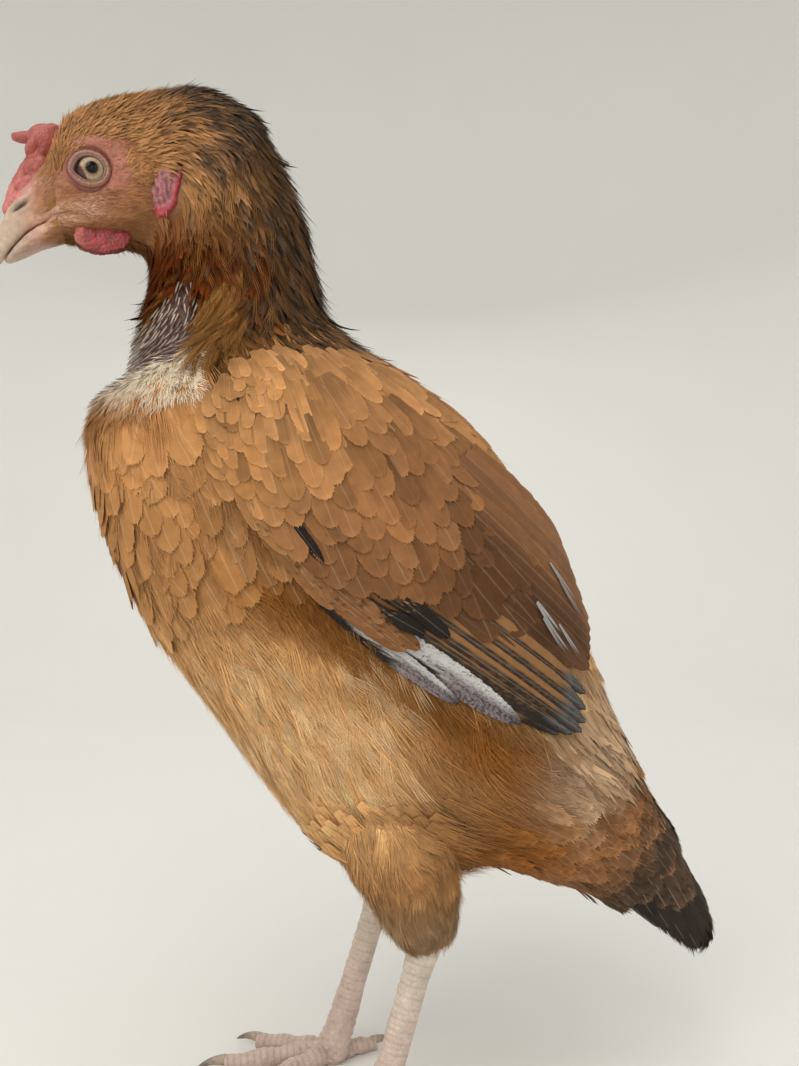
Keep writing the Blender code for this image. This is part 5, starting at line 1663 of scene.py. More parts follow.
def thigh_coat(label):
    """The drumstick's short loose feathers, greyer over the hock."""
    draw = np.random.default_rng(808 + SIDES[label])
    coat = Coat(f"feathers_thigh_{label}")
    name = f"thigh_{label}"

    def tone(points):
        made = mix(body_marking(points), colour("thigh"), smooth_step(128, 98, points[:, 2]))
        return mix(made, colour("hock"), smooth_step(104, 84, points[:, 2]))

    def sink(roots):
        return 2.0 * smooth_step(0.3, 0.0, roots[:, 0])

    roots = column_roots(sheet(name), 0.05, 1.02, 40, ((0, 1), (4.2, 2.4)), draw)
    long_ = np.interp(roots[:, 0], (0, 1), (17, 10))
    wide = np.interp(roots[:, 0], (0, 1), (8.5, 4.5))
    grow(coat, name, tufts(12, 0.95, 0.055, (41, 42, 43)), roots, long_, wide, (-1.4, 2.4, 0.9), tone, draw,
         spread=0.2, shaft=0.0, amount=0.17, flare=2.0, swirl=0.4, patchy=0.22, sink=sink(roots))
    roots = column_roots(sheet(name), 0.0, 1.0, 26, 6.0, draw)
    grow(coat, name, [leaf(12, 5, 0.4, 0.5, 2.2, 0.14, 0.02, 44, fray=0.12)], roots, 17.0, 9.0, (-2.6, 1.8),
         tone, draw, spread=0.16, shaft=0.2, edge=0.06, amount=0.06, swirl=0.25, patchy=0.12,
         sink=sink(roots))
    coat.make("plumage")


# Wings


def wing_marking(points):
    """Golden in front and above, browner to the rear, and darkest over the flight feathers."""
    p, q = side_to_wing(points[..., 0], points[..., 2])
    tone = mix(colour("wing_gold"), colour("wing_brown") * 1.3, smooth_step(20, 75, p))
    tone = mix(tone, colour("wing_brown") * 0.85, smooth_step(0, -14, q) * smooth_step(40, 65, p))
    dark = smooth_step(92, 112, p + 0.2 * q) * smooth_step(40, 22, q)
    tone = mix(tone, colour("wing_dark") * 1.25, dark)
    back = mix(colour("wing_gold") * 1.05, colour("wing_brown") * 1.25, smooth_step(60, 130, p))
    return mix(tone, back, smooth_step(34, 50, q) * 0.8)


def wing_lie(p, q):
    """The lie of the coverts: level with the edges of the wing, steeper across its middle."""
    low, high = between(WING_LOWER_EDGE, p), between(WING_UPPER_EDGE, p)
    share = np.clip((q - low) / (high - low), 0, 1)
    steep = np.interp(share, (0, 0.12, 0.45, 0.75, 1.0), (-0.15, -0.40, -0.50, -0.30, 0.05))
    return steep * smooth_step(175, 120, p) - 0.35 * smooth_step(40, 8, p)


def above_flights(p, q, reach):
    """True where a covert rooted at p, q ends above the line along which the flights show."""
    turn = wing_lie(p, q)
    end_p, end_q = p + reach * np.cos(turn), q + reach * np.sin(turn)
    return end_q > between(FLIGHT_LINE, end_p)


def cover(coat, name, pattern, places, turn, length, width, lift, amount, lean, draw, tone=None, tilt=0.0,
          **look):
    """Lays wing feathers from p, q places, varied in tone by amount and tilted by lean."""
    spine = walk(sheet(name), *places, turn, length, 6)
    tone = wing_marking(spine[0][:, 3]) if tone is None else tone
    tone = tone * vary(draw, len(places[0]), amount)
    tilt = tilt + draw.normal(size=len(places[0])) * lean
    coat.add(pattern, spine, length, width, lift, tone, bake_place(name, *places), tilt=tilt, **look)


def edge_strip(label):
    """The narrow speckled feathers that follow the lower edge of the arm."""
    side = SIDES[label]
    draw = np.random.default_rng(930 + side)
    coat = Coat(f"edge_strip_{label}")
    count = 34
    p = np.linspace(12, 84, count) + draw.normal(size=count)
    q = between(WING_LOWER_EDGE, p) + draw.uniform(2.5, 10, count)
    turn = np.arctan2(between(WING_LOWER_EDGE, p + 12) - between(WING_LOWER_EDGE, p), 12)
    tone = mix(colour("wing_gold") * 0.8, colour("wing_brown") * 1.1, smooth_step(15, 55, p))
    paint = speckled((61, 9, 23, 43), (0.3, 0.8), (0.3, 0.6), 0.6, half=-side)
    vane = leaf(16, 7, 0.4, 0.5, 2.2, 0.2, 0.01, 54)
    cover(coat, f"wing_{label}", vane, (p, q), turn, 28.0, 7.5, (4.6, 1.0), 0.14, 0.06, draw, tone=tone,
          shaft=0.35, edge=0.15, paint=paint)
    coat.make("plumage")


# Coverts from the bend to the rear: p, width, step to the next row, and length.
COVERT_SIZES = ((0, 5.5, 2.8, 10), (12, 7.5, 4.2, 14), (40, 10.5, 6.6, 22), (110, 13.0, 8.6, 31))


def covert_size(which, p):
    return np.interp(p, [row[0] for row in COVERT_SIZES], [row[which] for row in COVERT_SIZES])


def wing_coverts(label):
    """Scale-like coverts, small at the bend and growing to the rear, over the whole arm."""
    draw = np.random.default_rng(900 + SIDES[label])
    name = f"wing_{label}"
    coat = Coat(f"coverts_{label}")
    roots = []
    p = -2.0
    row = 0
    while p < 118:
        high = float(between(WING_UPPER_EDGE, p + 4)) - 1
        wide = float(covert_size(1, p))
        q = float(between(WING_LOWER_EDGE, p + 4)) + 3 + wide * 0.35 * (row % 2)
        while q < high:
            roots.append((p, q, wide))
            q += wide * 0.66
        p += float(covert_size(2, p))
        row += 1
    p, q, wide = np.array(roots).T
    kept = above_flights(p, q, 27.0)
    p, q, wide = p[kept], q[kept], wide[kept]
    count = len(p)
    p = p + draw.normal(size=count) * 1.1
    q = q + draw.normal(size=count) * 0.9
    wide = wide * draw.uniform(0.9, 1.12, count)
    long_ = covert_size(3, p)
    turn = wing_lie(p, q)
    lift = pad_thickness(p + 8, q) - 1.1
    choice = draw.integers(0, 3, count)
    patch = bake_place(name, p, q)
    for k, shaft in enumerate((0.08, 0.14, 0.3)):
        own = choice == k
        count = int(own.sum())
        pattern = leaf(15, 7, 0.45, 0.45, 2.1, 0.10, 0.006, 51 + k, notch=0.08, fray=0.11)
        spine = walk(sheet(name), p[own], q[own], turn[own] + draw.normal(size=count) * 0.07, long_[own], 5)
        tone = wing_marking(spine[0][:, 3]) * vary(draw, count, 0.13)
        tone = tone * (1 + 0.14 * lumpy(spine[0][:, 3], 22.0, 204))[:, None]
        # base darkens each covert's root: painted shade between the rows, over the root's own darker colour.
        coat.add(pattern, spine, long_[own], wide[own], (lift[own], 1.3), tone, patch[own], shaft=shaft,
                 tilt=draw.normal(size=count) * 0.05, edge=0.27, soft=0.7, base=tone * 0.7)
    coat.make("plumage")


def flight_paint(kind, seed, side):
    """The colours over one flight feather of a kind, from its share along and across."""
    shift = np.random.default_rng(seed).uniform(0, 6.28, 6)
    dark = colour("tail_black")

    def noise(along, u, scale):
        waves = zip((2.1, 0.9, 3.7), (5, -11, 19), shift)
        return sum(np.sin(along * scale * a + u * b + c) for a, b, c in waves) / 3

    def striped(along, u, n):
        """Dark and barred with buff, buff on the outer half or all over, with a black tip and a painted
        highlight on it.
        """
        outer, buff = smooth_step(-0.14, -0.28, u + 0.05 * n), np.array((0.32, 0.16, 0.065))
        if kind == "buff":
            outer, buff = np.ones(len(u)), buff * 1.25
        tip = smooth_step(0.76, 0.88, along + 0.04 * noise(along, u, 6) + 0.1 * u)
        speck = np.sin(along * 150 + 4 * np.sin(u * 9 + shift[3])) * np.sin(u * 31 + along * 60)
        made = mix(dark * 1.6, buff * 0.6, 0.5 * smooth_step(0.0, 0.5, speck))
        made = mix(mix(made, buff, outer), dark * 1.2, tip)
        # Painted highlight: a pale patch near the tip for the gloss of the black tip.
        painted_highlight = smooth_step(0.80, 0.9, along) * smooth_step(-0.9, -0.5, u) * smooth_step(0.4, 0.0, u)
        return mix(made, colour("white") * 0.3, 0.4 * painted_highlight)

    def white(along, u, n):
        """White, with fine grey bars, a mauve-grey cloud to the tip and a dark root."""
        lines = np.sin(along * 210 - u * 9 + 2.2 * n + 2.4 * np.sin(along * 31 + u * 4) + np.sin(along * 83))
        inner = smooth_step(-0.55, 0.0, u)
        far = smooth_step(0.42, 0.62, along + 0.08 * n)
        clouds = 1.05 * far * smooth_step(-0.5, 0.3, noise(along, u, 4)) * inner + 0.22 * inner + 0.08
        clouds = (0.2 + 0.8 * smooth_step(-0.1, 0.8, lines)) * clouds
        clouds = np.maximum(clouds, 0.55 * smooth_step(0.86, 0.97, along))
        pale = mix(colour("white") * 0.85, np.array((0.29, 0.23, 0.24)), 0.9 * far * inner)
        grey = mix(pale, np.array((0.07, 0.055, 0.06)), np.clip(clouds, 0, 0.9))
        root = smooth_step(0.62, 0.5, along) * smooth_step(0.05, 0.3, u + 0.25 * n)
        return mix(grey, dark * 1.5, np.maximum(smooth_step(0.30, 0.16, along + 0.06 * n), root))

    def black(along, u, n):
        gold = smooth_step(0.3, 0.7, n) * smooth_step(0.35, 0.15, along)
        return mix(dark * 1.1, colour("wing_gold") * 0.7, gold)

    def paint(tone, along, u):
        u = side * u
        marking = {"white": white, "black": black}.get(kind, striped)
        return np.broadcast_to(marking(along, u, noise(along, u, 14)), tone.shape)

    return paint


# Flight feathers of the folded wing: kind, root p q, tip p q, width, lift above the body.
FLIGHT_FEATHERS = (
    ("buff", (92, -28), (183, -18), 8, 2.2),
    ("white", (74, -32), (138, -32), 8, 2.5),
    ("white", (80, -28), (164, -24), 12, 3.1),
    ("striped", (86, -21), (188, -15), 11, 3.8),
    ("striped", (88, -17), (192, -12), 11, 4.4),
    ("striped", (90, -12), (191, -8.5), 11, 5.0),
    ("striped", (92, -7), (188, -4.5), 11, 5.6),
    ("striped", (94, -2), (184, 0), 10, 6.1),
    ("black", (92, -21), (110, -19), 6, 7.2),
    ("black", (96, -14), (118, -15), 7, 7.6),
    ("black", (40, -13), (65, -20), 5, 6.6),
)


# Narrow white slivers between the secondaries: root p q, tip p q and width.
SLIVERS = (
    ((138, 31), (162, 23), 3.4),
    ((146, 28), (170, 19), 2.6),
    ((140, 15), (160, 9), 4.6),
    ((146, 12), (168, 5), 4.2),
    ((154, 14), (174, 7), 2.6),
)
SECONDARIES = 15


def flight_feathers(label):
    """The flight feathers, with the dark rounded secondaries and the slivers fanned over them."""
    side = SIDES[label]
    draw = np.random.default_rng(950 + side)
    name = f"wing_{label}"
    coat = Coat(f"flights_{label}")
    plain, barred = (leaf(rows, columns, 0.5, 0.45, 2.0, 0.10, 0.008, 61, notch=0.08)
                     for rows, columns in ((60, 13), (170, 25)))
    for k, (kind, root, tip, width, lift) in enumerate(FLIGHT_FEATHERS):
        coat.lay(name, barred if kind == "white" else plain, root, tip, 24, width, (lift - 0.8, 1.2),
                 colour("white"), shaft=0.3, soft=0.3, tilt=0.16 * side,
                 paint=flight_paint(kind, 70 + k, side))
    vane = leaf(30, 9, 0.5, 0.55, 2.6, 0.12, 0.006, 62)
    for share in np.arange(SECONDARIES) / (SECONDARIES - 1):
        root = (70 + 16 * share, -6 + 52 * share)
        tip = [np.interp(share, (0, 0.35, 0.7, 1), ends) for ends in ((133, 182, 176, 146), (-6, 9, 24, 42))]
        tone = mix(colour("wing_dark") * 1.15, colour("wing_brown") * 1.1, smooth_step(0.4, 1.0, share))
        coat.lay(name, vane, root, tip, 16, 15.5, (4.6 + 1.8 * share, 0.9), tone * vary(draw, 1, 0.16),
                 shaft=0.10, tilt=0.14 * side, edge=0.35)
    for root, tip, width in SLIVERS:
        coat.lay(name, tuft(6, 0.7, 0.16, 65), root, tip, 8, width, (7.5, 0.8),
                 colour("white") * draw.uniform(0.42, 0.6), shaft=0.0)
    coat.make("plumage", "flight feathers")


# Rows of longer coverts to the rear: count, lowest and highest root p q, length, width, lift and turn.
REAR_ROWS = (
    (11, (96, -6), (108, 46), 30, 14.0, 6.4, -0.30),
    (10, (112, 0), (124, 42), 30, 14.0, 6.0, -0.26),
    (8, (130, 4), (138, 36), 30, 13.0, 5.4, -0.2),
    (6, (146, 6), (150, 30), 28, 12.0, 5.0, -0.1),
)


def rear_coverts(label):
    """Longer dark coverts over the secondaries, and the long scapulars along the back."""
    side = SIDES[label]
    draw = np.random.default_rng(970 + side)
    name = f"wing_{label}"
    coat = Coat(f"scapulars_{label}")
    for count, low, high, long_, wide, lift, turn in REAR_ROWS:
        share = np.linspace(0, 1, count) + draw.normal(size=count) * 0.02
        p = low[0] + (high[0] - low[0]) * share + draw.normal(size=count) * 2.0
        q = low[1] + (high[1] - low[1]) * share
        kept = above_flights(p, q, long_ - 2.0)
        cover(coat, name, leaf(12, 7, 0.45, 0.55, 2.6, 0.14, 0.01, 63), (p[kept], q[kept]),
              turn * (1 - 0.7 * share[kept]), long_, wide, (lift - 1.0, 1.4), 0.14, 0.07, draw,
              tilt=0.05 * side, shaft=0.25, edge=0.18)
    count = 64
    p = 6 + 130 * draw.uniform(0, 1, count)
    q = between(WING_UPPER_EDGE, p) - draw.uniform(0.5, 12, count)
    cover(coat, name, leaf(14, 5, 0.4, 0.5, 2.0, 0.2, 0.01, 64, fray=0.08), (p, q),
          -0.05 - 0.35 * smooth_step(70, 130, p), 32.0, 8.5, (2.6, 2.6, 0.8), 0.12, 0.1, draw,
          shaft=0.25, edge=0.2)
    coat.make("plumage")


def make_wing(label):
    wing_coverts(label)
    edge_strip(label)
    flight_feathers(label)
    rear_coverts(label)


# Tail


# Tiers of tail coverts: first and last root a c, tips between them, and lift.
TAIL_TIERS = (
    ((-5, 8), (-6, 37), ((52, 7), (54, 14), (46, 24), (30, 36)), -0.6),
    ((-17, 8), (-15, 38), ((30, 6), (31, 16), (24, 28), (10, 40)), 0.4),
    ((-27, 6), (-25, 38), ((12, 6), (12, 16), (8, 28), (-4, 40)), 0.8),
)
TIER_FEATHERS = 6


def make_tail(label):
    """Seven black-brown steering feathers of one side under paler-edged coverts."""
    side = SIDES[label]
    draw = np.random.default_rng(1000 + side)
    name = f"tail_{label}"
    coat = Coat(f"tail_{label}_feathers")
    dense = leaf(34, 9, 0.5, 0.5, 3.0, 0.08, 0.012, 71, notch=0.2, fray=0.16)
    for k, tip in enumerate(TAIL_TIPS):
        share = k / (len(TAIL_TIPS) - 1)
        tone = mix(colour("tail_black"), colour("tail_brown"), 0.25 * (1 - share)) * 1.35
        coat.lay(name, dense, (-2 * share, 7 + 29 * share), tip, 14, 13.0, (-2.6 - 0.8 * share, 2.6),
                 tone * vary(draw, 1, 0.1), shaft=0.25, tilt=0.10 * side)
    vane = leaf(18, 9, 0.45, 0.6, 2.6, 0.12, 0.012, 72, fray=0.1)
    for tier, (low, high, tips, lift) in enumerate(TAIL_TIERS):
        for share in np.arange(TIER_FEATHERS) / (TIER_FEATHERS - 1):
            root = np.array(low) + np.subtract(high, low) * share
            tip = [np.interp(share * (len(tips) - 1), range(len(tips)), ends) for ends in zip(*tips)]
            stretch = draw.uniform(0.92, 1.06)
            tone = mix(colour("tail_brown"), colour("wing_brown") * 1.3, 0.08 + 0.42 * tier)
            tone = tone * vary(draw, 1, 0.12)
            paint = speckled((47, 13, 27, 31), (0.25, 0.7), (0.15, 0.4), 0.55, rim=(0.88, 6, 0.8),
                             shift=draw.uniform(0, 6))
            coat.lay(name, vane, root, tip, 8, 14.0, (lift - 2.2, 2.6), tone, stretch, shaft=0.5,
                     tilt=0.08 * side, paint=paint)
    coat.make("tail_feather", "flight feathers")


# Legs and feet


def tube_points(line, wide, deep, turns):
    """Rings of points round a line, with each ring's two radii, and the way up at each."""
    ahead = unit(np.gradient(line, axis=0))
    across = unit(np.array((0.0, 1.0, 0.0)) - ahead * ahead[:, 1:2])
    up = np.cross(ahead, across)
    flip = np.where((up[:, 2] < 0) | ((np.abs(up[:, 2]) < 0.2) & (up[:, 0] > 0)), -1.0, 1.0)
    up = up * flip[:, None]
    return line[:, None] + ring_round(across[:, None], up[:, None], wide, deep, turns), up


def ring_round(across, up, wide, deep, turns):
    ring = across * (wide[:, None] * np.sin(turns))[..., None]
    return ring + up * (deep[:, None] * np.cos(turns))[..., None]


def scute_height(along, facing, count, rise):
    """Overlapping plates across the front of a leg or the top of a toe."""
    at = along * count
    share = at - np.floor(at)
    edge = smooth_step(0.0, 0.12, share) * (0.35 + 0.65 * share)
    return rise * edge * np.clip(facing, 0, 1) ** 0.5


def scale_tone(points, plate):
    """Pinkish white scales, darker towards the floor, with darker joints between the plates."""
    z = points[..., 2]
    tone = mix(np.array((0.62, 0.52, 0.43)), np.array((0.58, 0.44, 0.38)), smooth_step(70, 20, z))
    tone = mix(tone, np.array((0.46, 0.35, 0.30)), 0.5 * smooth_step(6, 1, z))
    tone = tone * (1 + 0.10 * lumpy(points, 8, 81))[..., None]
    return tone * (0.83 + 0.17 * np.clip(plate, 0, 1))[..., None]


SHANK_PLATES = 11
# Half breadths of the foot from the ankle down to the sole: across, then fore and aft.
FOOT_SIZES = ((6.4, 6.0), (7.4, 6.8), (8.2, 7.6), (7.8, 7.2), (6.0, 5.6))


def on_side(spot, side):
    return np.array((spot[0], side * spot[1], spot[2]), float)


def shank_form(side):
    """The shank, with overlapping plates down its front."""
    hock, ankle = on_side(HOCK, side), on_side(ANKLE, side)
    share = np.linspace(-0.06, 1.0, 190)
    line = hock + (ankle - hock) * share[:, None]
    top = np.clip(1 - share * np.linalg.norm(ankle - hock) / 16, 0, 1)
    foot = np.clip(share - 0.78, 0, 1) / 0.22
    turns = rings(64)
    points, up = tube_points(line, 5.0 + 2.2 * top + 1.5 * foot, 5.4 + 1.8 * top + 0.8 * foot, turns)
    front = -np.sign(up[:, 0])[:, None] * np.cos(turns)
    down = (share[:, None] - 0.2) / 0.8
    shifted = 0.5 * (np.sin(turns) > 0)
    joint = smooth_step(-0.02, 0.10, np.abs((down * SHANK_PLATES + shifted) % 1.0 - 0.5) * 0.5)
    raised = scute_height(down + shifted / SHANK_PLATES, front, SHANK_PLATES, 0.6)
    raised = raised * smooth_step(0.12, 0.22, share)[:, None]
    out = unit(points - line[:, None])
    points = points + out * (raised + 0.12 * lumpy(points, 3, 82))[..., None]
    return closed_form(points, scale_tone(points, joint))


def ball_form(side):
    """The middle of the foot, from the ankle down to its flat sole."""
    hock, ankle, ball = (on_side(spot, side) for spot in (HOCK, ANKLE, BALL))
    sole = on_side((BALL[0] - 1, BALL[1], 0.0), side)
    knots = np.array((ankle + (hock - ankle) * 0.02, (ankle + ball) / 2, ball, sole + (0, 0, 2.5), sole))
    t = np.linspace(0, len(FOOT_SIZES) - 1, 60)
    columns = np.concatenate((knots, FOOT_SIZES), 1).T
    *line, wide, deep = (np.interp(t, range(len(FOOT_SIZES)), column) for column in columns)
    lean = np.array((-(hock - ankle)[2], 0.0, (hock - ankle)[0])) / np.linalg.norm(ankle - hock)
    facing = mix(lean, np.array((-1.0, 0, 0)), np.clip(t, 0, 1))
    ring = ring_round(np.array((0.0, 1.0, 0.0)), facing[:, None], wide, deep, rings(64))
    points = np.stack(line, 1)[:, None] + ring
    points = points + unit(ring) * (0.35 * lumpy(points, 3.2, 83) - 0.1)[..., None]
    points[..., 2] = np.maximum(points[..., 2], 0.0)
    return closed_form(points, scale_tone(points, 0.8 + 0.2 * lumpy(points, 3, 84)))


def make_leg(label):
    """The scaled shank, the foot with pads and flat soles, and the claws."""
    side = SIDES[label]
    shank = solid(f"scaled_shank_{label}", [shank_form(side)], "leg scales")
    dress(shank, "leg_scale", f"shank_{label}")
    foot = [ball_form(side)] + [toe_form(side, toe) for toe in TOES]
    dress(solid(f"scaled_foot_{label}", foot, "leg scales"), "leg_scale", f"foot_{label}")
    for toe in TOES:
        claw = solid(f"horn_claw_{toe}_{label}", [claw_form(side, toe)], "bill and claw horn")
        dress(claw, "claw_horn", f"claw_{toe}_{label}")


def toe_way(side, name):
    """Where a toe starts, its way ahead and across, and its row of sizes."""
    heading, *sizes = TOES[name]
    turn = math.radians(heading)
    way = np.array((-math.cos(turn), side * math.sin(turn), 0.0))
    return on_side((BALL[0], BALL[1], 0.0), side), way, np.array((-way[1], way[0], 0.0)), sizes


def toe_form(side, name):
    """A toe with plates on top and pads below."""
    start, way, across, (length, radius, _) = toe_way(side, name)
    distance = np.linspace(-3, length, 130)
    share = np.clip(distance / length, 0, 1)
    wide = radius * (1 - 0.34 * share) * (1 + 0.10 * np.cos(2 * np.pi * 3 * share))
    turns = rings(40)
    facing = np.cos(turns)
    plates = max(6, round(length / 2.9))
    raised = scute_height(share[:, None], facing, plates, 0.45)
    joint = smooth_step(0.02, 0.14, np.abs((share[:, None] * plates) % 1.0 - 0.5) * 0.5)
    joint = np.where(facing > 0, joint, 0.9)
    round_ = across * ((wide[:, None] + raised * 0.5) * np.sin(turns))[..., None]
    points = start + way * distance[:, None, None] + round_
    points[..., 2] += radius * (0.85 - 0.25 * share[:, None]) + (wide[:, None] + raised) * facing
    points = points + 0.15 * unit(round_ + 1e-6) * lumpy(points, 2.5, 85)[..., None]
    points[..., 2] = np.maximum(points[..., 2], 0.0)
    return closed_form(points, scale_tone(points, joint))


def claw_form(side, name):
    start, way, across, (length, radius, claw) = toe_way(side, name)
    share = np.linspace(0, 1, 40)
    turns = rings(24)
    size = (radius * 0.48 * (1 - share) ** 0.7 + 0.2)[:, None]
    line = start + way * (length - 1.0 + (claw + 1.0) * share)[:, None]
    points = line[:, None] + across * (size * 0.8 * np.sin(turns))[..., None]
    middle = radius * 0.95 + 0.8 * np.sin(np.pi * share * 0.8) - 2.6 * share ** 2
    points[..., 2] += middle[:, None] + size * np.cos(turns)
    points[..., 2] = np.maximum(points[..., 2], 0.4)
    tone = mix(np.array((0.40, 0.31, 0.24)), np.array((0.16, 0.12, 0.10)), smooth_step(0.2, 0.9, share))
    return closed_form(points, tone[:, None] * (1 + 0.2 * lumpy(points, 2, 86))[..., None])


# Stage


FLOOR_TONE = (0.84, 0.83, 0.79)
FLOOR_COLUMNS = 96
# Lights: name, place, size, power and tint.
LIGHTS = (
    ("key", (-1.0, -1.2, 1.7), 2.0, 24.0, (1.0, 0.98, 0.95)),
    ("fill", (1.3, -1.3, 0.9), 1.4, 3.0, (0.96, 0.98, 1.0)),
    ("rear", (0.4, 1.6, 1.6), 1.4, 8.0, (1.0, 0.99, 0.98)),
    ("top", (-0.2, -0.2, 2.2), 1.4, 8.0, (1.0, 1.0, 1.0)),
)
# The camera of the photo: what it looks at and from how far in millimetres, and its turn.
CAMERA_TARGET = (6.0, 0.0, 240.0)
CAMERA_DISTANCE = 450.0
CAMERA_YAW = math.radians(15.0)
SENSOR_WIDTH = 36.0


def floor_material():
    """A matt studio surface with a breath of unevenness."""
    made = bpy.data.materials.new("pale floor")
    made.use_nodes = True
    tree = made.node_tree
    shader = tree.nodes["Principled BSDF"]
    noise = node(tree, "ShaderNodeTexNoise")
    noise.inputs["Scale"].default_value = 3.0
    spot = node(tree, "ShaderNodeTexCoord")
    tree.links.new(spot.outputs["Object"], noise.inputs["Vector"])
    darker, paler = ([c * share for c in FLOOR_TONE] for share in (0.97, 1.02))
    tinted = blend_colour(tree, noise.outputs[0], darker, paler)
    tree.links.new(tinted, shader.inputs["Base Color"])
    shader.inputs["Roughness"].default_value = 0.9


def make_floor():
    """A pale floor that curves up on every side."""
    floor_material()
    curve = [(1.1 + 1.3 * math.sin(a), 1.3 - 1.3 * math.cos(a)) for a in np.linspace(0.1, math.pi / 2, 14)]
    profile = np.array([(0.2, 0.0), (1.1, 0.0), *curve, (2.4, 3.4)])
    radius, height = profile[:, 0:1], profile[:, 1:2]
    turns = rings(FLOOR_COLUMNS)
    points = np.stack(np.broadcast_arrays(radius * np.cos(turns), radius * np.sin(turns), height), -1)
    k = np.arange(FLOOR_COLUMNS)
    middle = np.stack(((k + 1) % FLOOR_COLUMNS, k, np.full(FLOOR_COLUMNS, len(profile) * FLOOR_COLUMNS)), -1)
    faces = np.concatenate((grid_faces(len(profile), FLOOR_COLUMNS, round_=True), middle))
    points = np.concatenate((points.reshape(-1, 3), np.zeros((1, 3))))
    turn_out(new_object("floor", new_mesh("floor", points, faces), "pale floor"))


def make_stage():
    """The floor, soft lights and the camera."""
    scene = bpy.context.scene
    make_floor()
    for name, place, size, power, tint in LIGHTS:
        light = bpy.data.lights.new(name, "AREA")
        light.shape = "DISK"
        light.size = size
        light.energy = power * settings().light_strength
        light.color = tint
        obj = bpy.data.objects.new(name, light)
        obj.location = place
        obj.rotation_euler = (Vector((0, 0, 0.22)) - Vector(place)).to_track_quat("-Z", "Y").to_euler()
        scene.collection.objects.link(obj)
    world = bpy.data.worlds.new("studio")
    world.use_nodes = True
    back = world.node_tree.nodes["Background"]
    back.inputs[0].default_value = (0.95, 0.97, 1.0, 1.0)
    back.inputs[1].default_value = 0.32
    scene.world = world
    scene.view_settings.view_transform = "Standard"
    camera = bpy.data.cameras.new("camera")
    camera.sensor_width = SENSOR_WIDTH
    camera.lens = 1050 / 1066 * SENSOR_WIDTH
    camera.clip_start = 0.01
    obj = bpy.data.objects.new("camera", camera)
    back_off = CAMERA_DISTANCE * np.array((math.sin(CAMERA_YAW), math.cos(CAMERA_YAW), 0.0))
    obj.location = Vector((np.array(CAMERA_TARGET) - back_off) * MM)
    obj.rotation_euler = (math.radians(90), 0.0, -CAMERA_YAW)
    scene.collection.objects.link(obj)
    scene.camera = obj


# The add-on


class HenColours(bpy.types.PropertyGroup):
    """Colours of skin and feathers that a user would change."""

    __annotations__ = {
        name: FloatVectorProperty(name=name.replace("_", " ").capitalize(), description=words, default=value,
                                  subtype="COLOR", min=0.0, max=1.0)
        for name, (words, value) in COLOURS.items()
    }


class HenSettings(bpy.types.PropertyGroup):
    """Sizes, density and light that a user would change."""

    eye_radius: FloatProperty(name="Eye radius", description="Radius of each eyeball", default=0.0072,
                              min=0.005, max=0.009, precision=4, subtype="DISTANCE", unit="LENGTH")
    feather_length: FloatProperty(name="Feather length",
                                  description="Share of the body feathers' own length",
                                  default=1.0, min=0.5, max=1.5, subtype="FACTOR")
    head_density: FloatProperty(name="Head feather density",
                                description="How closely the head's short feathers stand",
                                default=1.0, min=0.3, max=1.5)
    light_strength: FloatProperty(name="Light strength", description="Share of the studio lights' power",
                                  default=1.0, min=0.1, max=4.0, subtype="FACTOR")


class HEN_OT_skin(bpy.types.Operator):
    """Build the one skin under the coat, with the bare face and the lids"""
    bl_idname = "hen.skin"
    bl_label = "Skin"

    def execute(self, context):
        make_skin()
        return {"FINISHED"}


class HEN_OT_face(bpy.types.Operator):
    """Build the eyes, comb, wattles, ear lobes and bill"""
    bl_idname = "hen.face"
    bl_label = "Eyes, comb and bill"

    def execute(self, context):
        make_comb()
        for label in SIDES:
            make_eye(label)
            make_wattle(label)
            make_lobe(label)
        for half in ("upper", "lower"):
            make_bill(half)
        return {"FINISHED"}


class HEN_OT_plumage(bpy.types.Operator):
    """Grow the feathers of head, neck, breast, belly, back and thighs"""
    bl_idname = "hen.plumage"
    bl_label = "Body plumage"

    def execute(self, context):
        head_coat()
        neck_coat()
        pin_feathers()
        breast_coat()
        down()
        belly_coat()
        back_coat()
        for label in SIDES:
            thigh_coat(label)
        return {"FINISHED"}


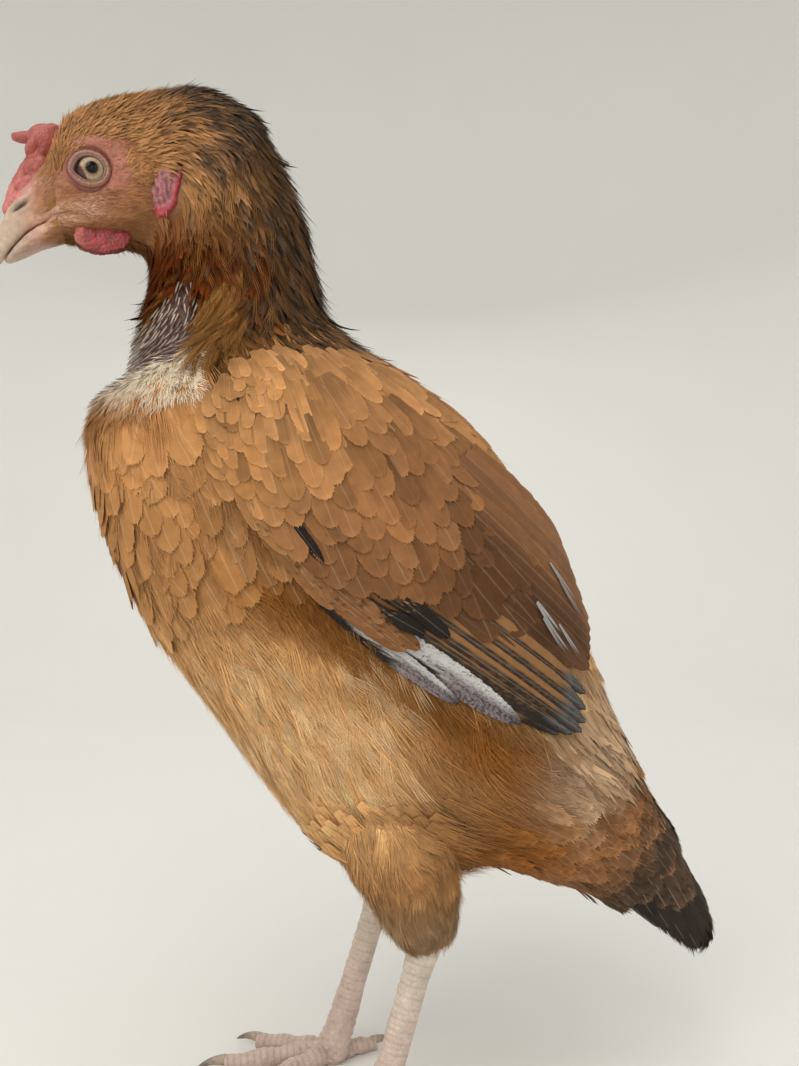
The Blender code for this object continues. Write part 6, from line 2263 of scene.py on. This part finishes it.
class HEN_OT_wings(bpy.types.Operator):
    """Lay the coverts, scapulars and flight feathers of both folded wings"""
    bl_idname = "hen.wings"
    bl_label = "Wings"

    def execute(self, context):
        for label in SIDES:
            make_wing(label)
        return {"FINISHED"}


class HEN_OT_tail(bpy.types.Operator):
    """Fan the steering feathers and coverts of the tail"""
    bl_idname = "hen.tail"
    bl_label = "Tail"

    def execute(self, context):
        for label in SIDES:
            make_tail(label)
        return {"FINISHED"}


class HEN_OT_legs(bpy.types.Operator):
    """Build the scaled shanks, feet and claws"""
    bl_idname = "hen.legs"
    bl_label = "Legs and feet"

    def execute(self, context):
        for label in SIDES:
            make_leg(label)
        return {"FINISHED"}


class HEN_OT_stage(bpy.types.Operator):
    """Set up the pale floor, the soft lights and the camera"""
    bl_idname = "hen.stage"
    bl_label = "Stage"

    def execute(self, context):
        make_stage()
        return {"FINISHED"}


class HEN_PT_panel(bpy.types.Panel):
    bl_label = "Aseel Hen"
    bl_space_type = "VIEW_3D"
    bl_region_type = "UI"
    bl_category = "Aseel Hen"

    def draw(self, context):
        scene = context.scene
        for group in (scene.hen_settings, scene.hen_colours):
            for name in type(group).__annotations__:
                self.layout.prop(group, name)
        for operator in OPERATORS:
            self.layout.operator(operator.bl_idname)


OPERATORS = (HEN_OT_stage, HEN_OT_skin, HEN_OT_face, HEN_OT_plumage, HEN_OT_wings, HEN_OT_tail, HEN_OT_legs)
CLASSES = (HenColours, HenSettings, *OPERATORS, HEN_PT_panel)


def register():
    for kind in CLASSES:
        bpy.utils.register_class(kind)
    bpy.types.Scene.hen_colours = PointerProperty(type=HenColours)
    bpy.types.Scene.hen_settings = PointerProperty(type=HenSettings)


def unregister():
    del bpy.types.Scene.hen_settings
    del bpy.types.Scene.hen_colours
    for kind in reversed(CLASSES):
        bpy.utils.unregister_class(kind)


def main():
    register()
    for step in ("stage", "skin", "face", "plumage", "wings", "tail", "legs"):
        getattr(bpy.ops.hen, step)()


if __name__ == "__main__":
    main()
